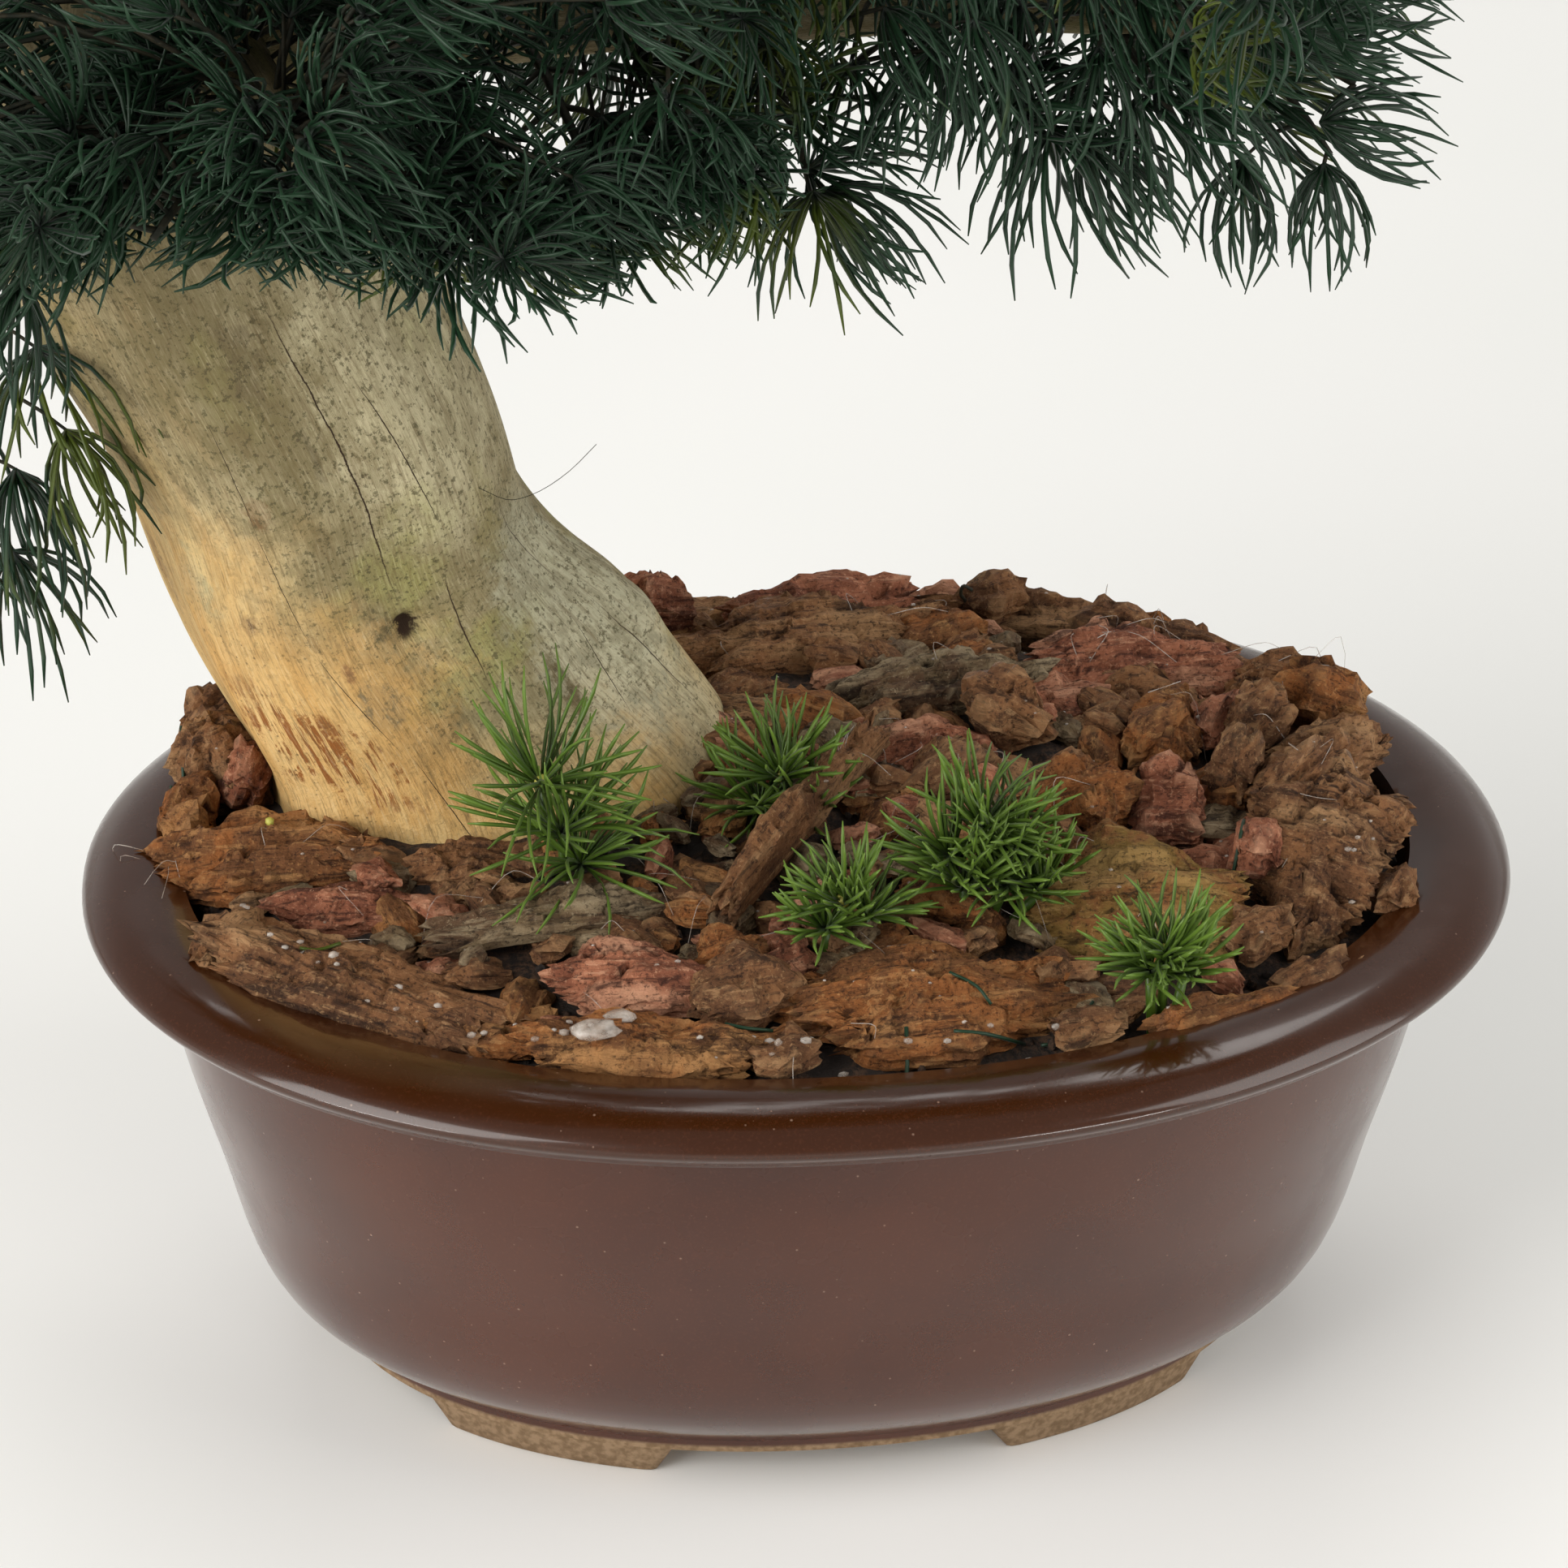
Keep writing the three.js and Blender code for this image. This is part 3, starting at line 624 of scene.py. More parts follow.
# %% Trunk shape
TRUNK_AXIS = places([
    (-50, 23, 58), (-56, 28, 98), (-63, 27, 117), (-75, 26, 142), (-82, 24, 168),
    (-96, 21, 203), (-107, 17, 236), (-104, 11, 268), (-88, 5, 306), (-60, 1, 342),
    (-33, -2, 370), (-17, -4, 396), (-12, -4, 416),
])
TRUNK_RADII = [27, 40, 34, 32, 32, 33, 32, 28, 21, 15, 10.5, 7, 4]
TRUNK_AROUND = 152
TRUNK_ALONG = 228
GRAIN_RADIUS = 34 * MM


def wrapped(angle):
    return math.atan2(math.sin(angle), math.cos(angle))


def bulge(angle, place, at_angle, width, at_place, length):
    return math.exp(-((wrapped(angle - at_angle) / width) ** 2) - ((place - at_place) / length) ** 2)


def trunk_radius(angle, along):
    """Radius of the trunk in metres. Angle 0 is the right side, 90 degrees the front."""
    place = along * (len(TRUNK_RADII) - 1)
    index = min(int(place), len(TRUNK_RADII) - 2)
    radius = mix(TRUNK_RADII[index], TRUNK_RADII[index + 1], place - index)
    ribs = 1 + 0.035 * math.cos(5 * angle + 9 * along) + 0.025 * math.cos(8 * angle - 5 * along)
    root = 11.5 * bulge(angle, place, 0.6, 0.6, 0.9, 0.8)
    burl = 5.5 * bulge(angle, place, 0.15, 0.45, 1.95, 0.4)
    flat_back = 9 * bulge(angle, place, -2.1, 0.8, 0.8, 0.9)
    return (radius * ribs + root + burl - flat_back) * MM


def axis_frame(points, share):
    """Place, across and outward directions of a bar at a share of its length."""
    tangent = (curve_place(points, share + 0.004) - curve_place(points, share - 0.004)).normalized()
    across = Vector((0, 1, 0)).cross(tangent).normalized()
    return curve_place(points, share), across, across.cross(tangent)


def roll_bar(bm, points, radius_at, around, along, relief, first=0.0):
    """Rolls a grid round the axis into a closed bar, and notes each point's place in the grain."""
    grain = bm.verts.layers.float_vector["grain_place"]
    grid = bmesh.ops.create_grid(bm, x_segments=around, y_segments=along, size=0.5)["verts"]
    length = sum((b - a).length for a, b in zip(points, points[1:]))
    frames = {}
    for vert in grid:
        share = vert.co.y + 0.5
        angle = (vert.co.x + 0.5) * 2 * math.pi - math.pi / 2
        key = round(share * along)
        if key not in frames:
            frames[key] = axis_frame(points, share)
        centre, across, outward = frames[key]
        turned = Vector((0, math.cos(angle), math.sin(angle))) * GRAIN_RADIUS
        spot = Vector((share * length, 0, 0)) + turned
        radius = radius_at(angle, share) + relief(spot)
        vert.co = centre + (across * math.cos(angle) + outward * math.sin(angle)) * radius
        vert[grain] = spot + Vector((first, 0, 0))
    bmesh.ops.remove_doubles(bm, verts=grid, dist=1e-6)
    ends = [edge for edge in bm.edges if edge.is_boundary]
    bmesh.ops.holes_fill(bm, edges=ends, sides=0)


KNOT_ALONG = 97.5 * MM
KNOT_ANGLE = 1.33
KNOT_HALF_LENGTH = 3.4 * MM
KNOT_HALF_ANGLE = 0.11


def trunk_relief(spot):
    """Low ridges along the grain with finer ones between them, and the hollow of the knot."""
    broad = wave_at(spot.x * 9, spot.y * 60, spot.z * 60)
    fine = wave_at(spot.x * 22, spot.y * 190, spot.z * 190)
    dent = noise.noise(Vector((spot.x * 30, spot.y * 38, spot.z * 38)) + Vector((7, 3, 1)))
    up = (spot.x - KNOT_ALONG) / KNOT_HALF_LENGTH
    side = wrapped(math.atan2(spot.z, spot.y) - KNOT_ANGLE) / KNOT_HALF_ANGLE
    away = math.hypot(up, side)
    knot = 0.9 * math.exp(-((away - 1.5) ** 2) / 0.5) - 2.8 * math.exp(-away * away)
    return (0.9 * broad + 0.35 * fine + 0.8 * dent + knot) * MM


# Each limb: its points from inside the trunk to its tip, with the radius at both ends
LIMBS = {
    "lowRight": (
        [(-92, 6, 236), (-58, -6, 250), (-14, -14, 254), (30, -13, 252), (62, -10, 246)],
        (11, 3.5),
    ),
    "lowLeft": ([(-104, 10, 240), (-132, 4, 244), (-148, 2, 236)], (10, 4)),
    "front": ([(-98, 6, 244), (-92, -26, 252), (-84, -52, 250)], (9, 3.5)),
    "back": ([(-96, 16, 262), (-74, 42, 276), (-46, 56, 280)], (10, 3.5)),
    "midRight": (
        [(-76, 3, 318), (-30, 4, 330), (22, 2, 330), (70, -4, 326), (108, -6, 318)],
        (10, 3.5),
    ),
    "midLeft": ([(-88, 5, 302), (-116, -4, 316), (-136, -10, 318)], (8, 3.5)),
    "crownRight": ([(-34, -2, 368), (-6, -10, 384), (26, -14, 388)], (7, 3)),
}
LIMB_AXES = {name: places(limb[0]) for name, limb in LIMBS.items()}
LIMB_AXES["trunk"] = TRUNK_AXIS

# %% [markdown]
# Driftwood is weathered: cream where the surface still holds, grey-green where algae dried on
# it, and brown where a branch once grew. The drying cracks and the knot's hollow are dark with
# painted shade, the upper trunk is darkened with painted shade from the fern above, and a pale
# patch on the right front is partly paler wood and partly painted light. Cracks and stains are
# placed by how far up and round the trunk they lie. A crack is a thin band that wanders like the grain.

# %% Driftwood material


def trunk_mask_group():
    """An elongated patch on the straightened trunk with ragged edges, 1 inside it."""
    group, given, result = new_group(
        "trunk_patch",
        [
            ("Along", "NodeSocketFloat", 0.0),
            ("Angle", "NodeSocketFloat", 0.0),
            ("Ragged", "NodeSocketFloat", 0.0),
            ("At Along", "NodeSocketFloat", 0.1),
            ("At Angle", "NodeSocketFloat", 1.5),
            ("Half Length", "NodeSocketFloat", 0.02),
            ("Half Width", "NodeSocketFloat", 0.1),
            ("Lean", "NodeSocketFloat", 0.0),
        ],
        ["Mask"],
    )
    offset = calculate(group, "SUBTRACT", given["Along"], given["At Along"])
    turned = calculate(group, "SUBTRACT", given["Angle"], given["At Angle"])
    turned = calculate(group, "WRAP", turned, math.pi, -math.pi)
    drift = calculate(group, "MULTIPLY", offset, given["Lean"])
    turned = calculate(group, "SUBTRACT", turned, drift)
    wander = calculate(group, "MULTIPLY_ADD", given["Ragged"], given["Half Width"], turned)
    up = calculate(group, "DIVIDE", offset, given["Half Length"])
    side = calculate(group, "DIVIDE", wander, given["Half Width"])
    up_squared = calculate(group, "MULTIPLY", up, up)
    side_squared = calculate(group, "MULTIPLY", side, side)
    distance = calculate(group, "SQRT", calculate(group, "ADD", up_squared, side_squared))
    group.links.new(between(group, distance, 1.0, 0.55), result["Mask"])
    return group


TRUNK_PATCH = trunk_mask_group()

# Each crack: place along the trunk and round it, half length, half width, lean
CRACKS = [
    (0.138, 1.33, 0.037, 0.0063, 0.4),
    (0.135, 1.05, 0.018, 0.004, 3.9),
    (0.092, 1.09, 0.019, 0.0049, -3.1),
    (0.097, 0.46, 0.022, 0.004, 4.5),
    (0.057, 0.33, 0.018, 0.004, 0.5),
    (0.064, 0.6, 0.012, 0.0036, -7.7),
    (0.143, 1.89, 0.014, 0.0027, -2),
    (0.118, 1.88, 0.018, 0.0027, 2.6),
    (0.087, 1.78, 0.016, 0.0032, 5),
    (0.055, 1.61, 0.02, 0.0032, 4),
]
# Each stain: the same five values, then its colour and how strongly it covers
STAINS = [
    (0.152, 1.85, 0.030, 0.55, 0.0, (104, 92, 60), 0.6),
    (0.080, 2.05, 0.038, 0.95, 0.0, (212, 158, 86), 0.5),
    # Partly paler wood and partly painted light: this patch lightens the right front, the side away from
    # the main lamp
    (0.142, 0.85, 0.036, 0.60, 0.0, (212, 202, 166), 0.75),
    (0.076, 0.45, 0.044, 0.55, 0.0, (186, 186, 162), 0.8),
    (0.112, 0.68, 0.020, 0.14, 0.0, (158, 150, 86), 0.45),
    (0.078, 2.12, 0.024, 0.26, 15.8, (136, 78, 28), 0.95),
    (0.160, 1.57, 0.010, 0.11, 0.0, (86, 72, 58), 0.8),
    (0.136, 1.86, 0.0045, 0.08, 0.0, (110, 66, 38), 0.95),
    (0.112, 3.02, 0.011, 0.08, 6.0, (98, 64, 46), 0.95),
    (0.108, 2.15, 0.003, 0.06, 0.0, (94, 60, 38), 0.9),
    (0.103, 1.82, 0.0035, 0.035, 0.0, (58, 40, 26), 0.95),
    (0.085, 1.66, 0.008, 0.13, 0.0, (84, 84, 72), 0.75),
    (0.067, 0.84, 0.009, 0.06, 0.0, (60, 42, 28), 0.95),
    (0.141, 1.475, 0.006, 0.03, 0.0, (92, 82, 68), 0.8),
    (0.094, 1.73, 0.003, 0.04, 0.0, (128, 80, 52), 0.8),
    (0.1015, 1.42, 0.0085, 0.12, 0.0, (62, 52, 38), 0.8),
    (0.1637, 1.41, 0.006, 0.05, 0.0, (96, 80, 58), 0.7),
    (0.149, 1.75, 0.004, 0.07, 0.0, (98, 78, 52), 0.6),
    (0.1367, 1.30, 0.005, 0.05, 0.0, (104, 84, 56), 0.6),
    (0.126, 1.60, 0.006, 0.05, 0.0, (106, 84, 54), 0.6),
    (0.118, 2.45, 0.012, 0.10, 4.0, (176, 168, 128), 0.6),
    (0.098, 2.62, 0.016, 0.10, 4.0, (224, 172, 92), 0.7),
    (0.072, 1.25, 0.012, 0.14, 0.0, (158, 148, 112), 0.5),
]
KNOT_HOLE = (KNOT_ALONG, KNOT_ANGLE, 0.0042, 0.10, 0.0)
# Stains wider than this half width are soft. Those that lean more than this break into streaks
BROAD_STAIN = 0.3
STREAK_LEAN = 10


def driftwood_material():
    material, tree, shader = new_material("driftwood", roughness=0.8, specular=0.25)
    place = attribute(tree, "grain_place").outputs["Vector"]
    parts = tree.nodes.new("ShaderNodeSeparateXYZ")
    tree.links.new(place, parts.inputs[0])
    along = parts.outputs["X"]
    angle = calculate(tree, "ARCTAN2", parts.outputs["Z"], parts.outputs["Y"])
    ragged = calculate(tree, "SUBTRACT", cloudy(tree, place, 150.0, 8.0, 0.75), 0.5)

    def patch(row, wander):
        at_along, at_angle, half_length, half_width, lean = row[:5]
        return place_group(
            tree, TRUNK_PATCH, **{
                "Along": along, "Angle": angle,
                "Ragged": calculate(tree, "MULTIPLY", ragged, wander),
                "At Along": at_along, "At Angle": at_angle, "Half Length": half_length,
                "Half Width": half_width, "Lean": lean,
            },
        )["Mask"]

    def fibres(scale):
        return place_group(tree, LONG_FIBRES, Place=place, Scale=scale)

    grain, streaks, threads, broad = fibres(2600.0), fibres(900.0), fibres(700.0), fibres(130.0)
    mottle = between(tree, cloudy(tree, stretch(tree, place, (0.6, 1, 1)), 260.0, 9.0, 0.76), 0.45, 0.58)
    long_cloud = cloudy(tree, stretch(tree, place, (0.3, 1, 1)), 48.0, 4.0)
    cream = layered(
        tree, colour(198, 158, 96),
        (broad["Fibre"], 0.38, 0.62, 1.0, (218, 188, 130)),
        (long_cloud, 0.52, 0.7, 0.7, (196, 148, 82)),
    )
    patchy = cloudy(tree, place, 30.0, 6.0, 0.62)
    grey_share = calculate(tree, "MULTIPLY_ADD", along, 5.0, calculate(tree, "MULTIPLY", patchy, 0.9))
    grey_share = calculate(tree, "MULTIPLY_ADD", parts.outputs["Y"], 10.0, grey_share)
    grey_share = between(tree, grey_share, 0.62, 1.15)
    grey = layered(
        tree, colour(138, 126, 92),
        (broad["Shreds"], 0.35, 0.65, 1.0, (182, 172, 138)),
        (cloudy(tree, place, 42.0, 4.0), 0.52, 0.66, 0.6, (142, 140, 78)),
    )
    wood = mixed(tree, grey_share, cream, grey)
    # Painted shade: the upper trunk is darkened where the fern above shades it
    wood = layered(tree, wood, (along, 0.13, 0.19, 0.25, (122, 108, 78)))
    for row in STAINS:
        half_width, lean, tint, cover = row[3:]
        broken = between(tree, streaks["Fibre"], 0.49, 0.53) if lean > STREAK_LEAN else mottle
        wander, least = (2.0, 0.6) if half_width > BROAD_STAIN else (5.0, 0.35 * (lean < STREAK_LEAN))
        share = calculate(tree, "MAXIMUM", broken, least)
        mask = calculate(tree, "MULTIPLY", patch(row, wander), share)
        wood = mixed(tree, calculate(tree, "MULTIPLY", mask, cover), wood, colour(*tint))
    wood = layered(
        tree, wood,
        (grain["Fibre"], 0.49, 0.37, 0.45, (104, 84, 54)),
        (grain["Fibre"], 0.53, 0.64, 0.2, (228, 214, 176)),
        (threads["Fibre"], 0.44, 0.34, 0.45, (96, 78, 48)),
    )
    blotch = calculate(tree, "MULTIPLY", mottle, between(tree, grey_share, 0.0, 1.0, 0.16, 0.55))
    wood = mixed(tree, blotch, wood, colour(120, 108, 74))
    speckled = cloudy(tree, place, 900.0, 4.0, 0.72)
    algae = between(tree, speckled, 0.53, 0.63, 0, 0.75)
    algae = calculate(tree, "MULTIPLY", algae, between(tree, grey_share, 0.0, 1.0, 0.25, 1.0))
    wood = mixed(tree, algae, wood, colour(78, 72, 46))
    dots = place_group(tree, SPECKS, Place=place, Scale=800.0, Size=0.3)["Speck"]
    dots = calculate(tree, "MULTIPLY", dots, between(tree, patchy, 0.42, 0.56))
    wood = mixed(tree, calculate(tree, "MULTIPLY", dots, 0.55), wood, colour(58, 46, 30))
    # Painted shade: the cracks and the knot's hollow are coloured dark brown for the shade inside them
    painted_crack_shade = patch(KNOT_HOLE, 5.0)
    for row in CRACKS:
        painted_crack_shade = calculate(tree, "MAXIMUM", painted_crack_shade, patch(row, 7.0))
    feed(tree, shader.inputs["Base Color"], mixed(tree, painted_crack_shade, wood, colour(48, 33, 20)))
    roughen(
        tree, shader,
        (broad["Shreds"], 1.0, 0.4), (threads["Fibre"], 0.4, 0.5), (grain["Fibre"], 0.2, 0.8),
        (speckled, 0.3, 0.8),
    )
    return material


# %% Make the trunk and its limbs
bm, _ = marked_bmesh("grain_place")
roll_bar(bm, TRUNK_AXIS, trunk_radius, TRUNK_AROUND, TRUNK_ALONG, trunk_relief)
for name, (points, (thick, thin)) in LIMBS.items():
    def limb_radius(angle, share):
        return mix(thick, thin, share) * MM

    def limb_relief(spot):
        return 0.6 * MM * wave_at(spot.x * 40, spot.y * 50, spot.z * 50)

    roll_bar(bm, LIMB_AXES[name], limb_radius, 20, 44, limb_relief, 1.0)
bmesh.ops.recalc_face_normals(bm, faces=bm.faces)
trunk = finish_piece(bm, "driftwood", [driftwood_material()], ["driftwood_trunk"])
print("trunk faces:", len(trunk.data.polygons))

# %% [markdown]
# A bark chip is a torn slab of many thin layers. A cube is cut into small faces and each point
# is moved by a rule: an outline with corners, ends torn along the fibres, a top that steps
# down layer by layer. Each chip keeps its own lengthways place, so the fibres turn with it.

# %% Bark chip shape
CHIP_COVER = 1.08
OUTLINE_STEPS = 96
PLANK_SHAPE = 0.2


def cut_cube(bm, cuts):
    """A cube of side 2 with its faces cut into a grid, a number of cuts for each direction."""
    bmesh.ops.create_cube(bm, size=2)
    for axis, count in enumerate(cuts):
        edges = [
            edge for edge in bm.edges
            if abs(edge.verts[0].co[axis] - edge.verts[1].co[axis]) > 0.5
        ]
        bmesh.ops.subdivide_edges(bm, edges=edges, cuts=count, use_grid_fill=True)


def broken_outline(draw):
    """A convex outline with five to seven straight breaks, as its radius at every step round."""
    count = draw.choice([5, 6, 7])
    breaks = [
        (2 * math.pi * (i + draw.uniform(-0.3, 0.3)) / count, draw.uniform(0.72, 1.0))
        for i in range(count)
    ]
    turns = [2 * math.pi * step / OUTLINE_STEPS for step in range(OUTLINE_STEPS)]
    radii = [
        min(far / max(math.cos(angle - turn), 0.25) for turn, far in breaks) for angle in turns
    ]
    wide = max(radius * abs(math.cos(angle)) for radius, angle in zip(radii, turns))
    deep = max(radius * abs(math.sin(angle)) for radius, angle in zip(radii, turns))
    return radii, wide, deep


def chip_point(u, w, t, size, rise, seed, outline):
    """Where a point of the cut cube goes on a chip, in metres before it is turned.

    The point lies u along the fibres, w across them and t up, each from -1 to 1.
    """
    length, width, thick = size
    radii, wide, deep = outline
    rim = max(abs(u), abs(w), 1e-6)
    angle = math.atan2(w, u)
    step = (angle / (2 * math.pi) % 1) * OUTLINE_STEPS
    index = int(step) % OUTLINE_STEPS
    radius = mix(radii[index], radii[(index + 1) % OUTLINE_STEPS], step - int(step))
    nicks = wave_at(math.cos(angle) * 4.2, math.sin(angle) * 4.2, seed + 9.1)
    radius *= 1 + 0.1 * nicks
    torn = wave_at(seed * 3.1, w * width / (1.5 * MM), t * 1.6) * abs(u) ** 3
    x = math.cos(angle) * radius / wide * rim * length / 2 + torn * 0.11 * length * math.copysign(1, u)
    y = math.sin(angle) * radius / deep * rim * width / 2
    if width < PLANK_SHAPE * length:
        x = u * length / 2 * (1 + 0.05 * nicks) + torn * 0.08 * length * math.copysign(1, u)
        y = w * width / 2
    layer = wave_at(x / (9 * MM), y / (4 * MM), seed + 4.2)
    terrace = math.floor((layer + 0.5) * 4) / 4 - 0.4
    warp = 3 * wave_at(x / (6 * MM), y / (6 * MM), seed)
    flake = noise.cell(Vector((x / (8 * MM) + warp * 0.5, y / (3 * MM) + warp, seed))) - 0.5
    chunk = noise.cell(Vector((x / (14 * MM) - warp * 0.3, y / (9 * MM) + warp * 0.4, seed + 5))) - 0.5
    ridge = wave_at(x / (8 * MM), y / (1.3 * MM), seed + t)
    crumb = wave_at(x / (2.2 * MM), y / (1.8 * MM), t * 2 + seed)
    thin = 1 - 0.3 * u * u
    round_off = 1 - 0.25 * rim ** 14
    z = t * thick / 2 * thin * round_off + rise * (1 - u * u) - 0.1 * width * w * w
    if t > 0:
        z += t * (0.28 * terrace * thick + (0.5 * ridge + 0.3 * crumb + 0.45 * flake) * MM)
        z += t * 0.14 * chunk * thick
    ledge = wave_at(x / (5 * MM), y / (5 * MM), t * 4 + seed) * rim ** 4
    grit = wave_at(x / (1.7 * MM), y / (1.7 * MM), t * 7 + seed) * rim ** 4
    side = Vector((x, y)).normalized() * (0.9 * ledge + 0.4 * grit) * MM
    return Vector((x + side.x, y + side.y, z))


def add_chip(bm, row, seed, cell=1.0):
    """Adds one chip of a row: place, length, width, thickness, turn, tip, roll and rise."""
    x, y, z, length, width, thick, turn, tip, roll, rise = row
    size = (length * CHIP_COVER * MM, width * CHIP_COVER * MM, thick * MM)
    outline = broken_outline(random.Random(seed))
    cuts = [max(4, min(52, round(part / (cell * MM)))) for part in size[:2]]
    cuts.append(max(3, min(8, round(thick / 1.3))))
    chip, grain = marked_bmesh("grain_place")
    cut_cube(chip, cuts)
    for vert in chip.verts:
        u, w, t = vert.co
        vert.co = chip_point(u, w, t, size, rise * MM, seed, outline)
        vert[grain] = vert.co + Vector((seed * 0.37, seed * 0.11, 0))
    turned = Matrix.Translation(Vector((x, y, z)) * MM)
    turned = turned @ Matrix.Rotation(math.radians(turn), 4, "Z")
    turned = turned @ Matrix.Rotation(math.radians(roll), 4, "Y")
    turned = turned @ Matrix.Rotation(math.radians(tip), 4, "X")
    pour(bm, chip, turned)


# %% [markdown]
# Bark changes from chip to chip: brick red where the inner side shows, orange where it is
# freshly torn, grey-brown outside and olive on old plates. One recipe takes those colours as
# values. Raised edges are painted pale, partly as frayed fibres and partly as painted highlight,
# and the hollows and the slits between the layers are painted dark as painted shade.

# %% Bark materials


def bark_material(name, main, second, pale, dark, edge_fluff_and_highlight):
    material, tree, shader = new_material(name, roughness=0.85, specular=0.25)
    place = attribute(tree, "grain_place").outputs["Vector"]
    fibres, threads, layers = [
        place_group(tree, LONG_FIBRES, Place=place, Scale=scale) for scale in (1150.0, 480.0, 190.0)
    ]
    crumb = cloudy(tree, place, 1100.0, 5.0, 0.72)
    edges = tree.nodes.new("ShaderNodeNewGeometry").outputs["Pointiness"]
    # Pointiness paints raised edges pale, partly frayed fibres and partly painted highlight, and paints
    # hollows dark as painted shade
    body = layered(
        tree, colour(*main),
        (cloudy(tree, place, 85.0, 6.0, 0.66, 0.5), 0.43, 0.57, 1.0, second),
        (layers["Shreds"], 0.52, 0.64, 0.65, pale),
        (layers["Fibre"], 0.46, 0.36, 0.75, dark),
        (threads["Fibre"], 0.55, 0.66, 0.6, pale),
        (threads["Fibre"], 0.46, 0.34, 0.8, dark),
        (fibres["Fibre"], 0.47, 0.34, 0.75, dark),
        (crumb, 0.55, 0.68, 0.6, pale),
        (crumb, 0.46, 0.35, 0.75, dark),
        (edges, 0.53, 0.62, edge_fluff_and_highlight, pale),
        (edges, 0.48, 0.42, 0.85, dark),
    )
    feed(tree, shader.inputs["Base Color"], body)
    glue = between(tree, cloudy(tree, place, 60.0, 3.0), 0.62, 0.68, 0.85, 0.32)
    feed(tree, shader.inputs["Roughness"], glue)
    roughen(
        tree, shader, (layers["Shreds"], 1.6, 0.8), (threads["Fibre"], 1.0, 0.9), (crumb, 0.7, 1.0)
    )
    return material


# Each kind: its material's name, then the main, second, pale and dark colour and how pale the raised edges
# are, from frayed fibres and painted highlight
BARK_KINDS = {
    "orange": ("bark_orange", (150, 93, 49), (117, 76, 45), (190, 141, 89), (48, 26, 14), 0.5),
    "red": ("bark_red_inner", (171, 109, 80), (135, 81, 58), (216, 163, 129), (54, 27, 20), 0.5),
    "brown": ("bark_brown", (137, 94, 60), (106, 71, 46), (182, 142, 100), (40, 24, 16), 0.5),
    "grey": ("bark_grey", (121, 100, 72), (96, 71, 50), (171, 153, 122), (40, 28, 20), 0.5),
    "olive": ("bark_olive", (134, 104, 52), (136, 89, 49), (180, 145, 89), (50, 36, 18), 0.3),
}
BARKS = {kind: bark_material(*row) for kind, row in BARK_KINDS.items()}
print("kinds of bark:", ", ".join(BARKS))

# %% [markdown]
# Each large chip stands for one solid of the frame and lies where that one lies. Most rows
# repeat the solid's own place and turn. The strip by the trunk is leaner and tips the other way,
# as the photograph shows it.

# %% Chips of the frame
# Each row: kind, then x, y, z, length, width, thickness, turn, tip, roll, rise
CHIPS = {
    "bark_red": ("red", -34, -56, 101, 28, 17, 6, -6, 12, 0, 1),
    "bark_small_orange": ("orange", -17, -53, 102, 13, 13, 7, 20, 10, 6, 1),
    "bark_diagonal_strip": ("brown", -1.5, -20, 110, 52, 4.5, 10, 55, 8, -9, 2),
    "bark_front_long": ("brown", -78, -48, 97.5, 60, 17, 6, -31, 12, 4, 1),
    "bark_front_fibrous": ("orange", -34, -71, 96, 40, 13, 7, -9, 8, 0, 1),
    "bark_orange_plank": ("orange", 14, -62, 97.5, 46, 26, 7, 6, 10, 0, 2),
    "bark_left_upper": ("orange", -93, -5, 99, 42, 19, 8, -10, 10, -6, 2),
    "bark_left_mid": ("red", -77, -24, 98, 34, 11, 6, -8, 14, 0, 1),
    "bark_curved_dark": ("grey", -44, -37, 101, 42, 9, 5, 6, 20, 0, 4),
    "bark_trunk_foot": ("brown", -58, -17, 102, 24, 11, 6, -6, 12, 0, 1),
    "bark_block": ("orange", 48, -12, 106, 19, 17, 13, 12, 14, -8, 1),
    "bark_plate": ("olive", 52, -42, 101.5, 35, 33, 5, -4, 24, 0, 3),
    "bark_right_upright": ("brown", 86, -29, 104, 24, 44, 9, -22, 22, 10, 2),
    "bark_rim_wedge": ("orange", 62, -68, 95.5, 29, 8, 5, 18, 6, 0, 0),
    "bark_right_rim": ("brown", 97, 4, 104.5, 30, 11, 10, 28, 10, 12, 1),
    "bark_right_back": ("brown", 91, 22, 103.5, 22, 21, 13, -20, 16, 10, 1),
    "bark_nodular": ("orange", 67, 8, 107.5, 13, 22, 12, -18, 14, 10, 1),
    "bark_back_slab": ("brown", 4, 44, 112, 50, 20, 7, 4, 18, 0, 2),
    "bark_gray_log": ("grey", 28, 24, 110, 42, 11, 10, 8, 10, 0, 1),
    "bark_pink_slab": ("red", 64, 31, 109.5, 37, 20, 7, 8, 20, 3, 1),
    "bark_back_right": ("brown", 56, 56, 104.5, 26, 15, 6, -12, 36, 0, 1),
    "bark_back_ridge": ("brown", 17, 64, 106, 42, 13, 7, -8, 26, 0, 2),
    "bark_back_shard": ("red", -20, 63, 110, 14, 8, 16, 12, 0, 10, 0),
    "bark_reddish": ("red", 23, 4, 106.5, 32, 15, 8, 12, 12, 0, 2),
    "bark_left_back": ("brown", -100, 27, 102, 15, 22, 14, 22, 10, -14, 2),
    "bark_behind_trunk": ("brown", -50, 72, 101, 36, 15, 6, 14, 10, 0, 2),
}
for number, (name, row) in enumerate(CHIPS.items()):
    bm, _ = marked_bmesh("grain_place")
    add_chip(bm, row[1:], number + 1.0)
    finish_piece(bm, name + "_chip", [BARKS[row[0]]], [name], crease=24)
print("chips:", len(CHIPS))
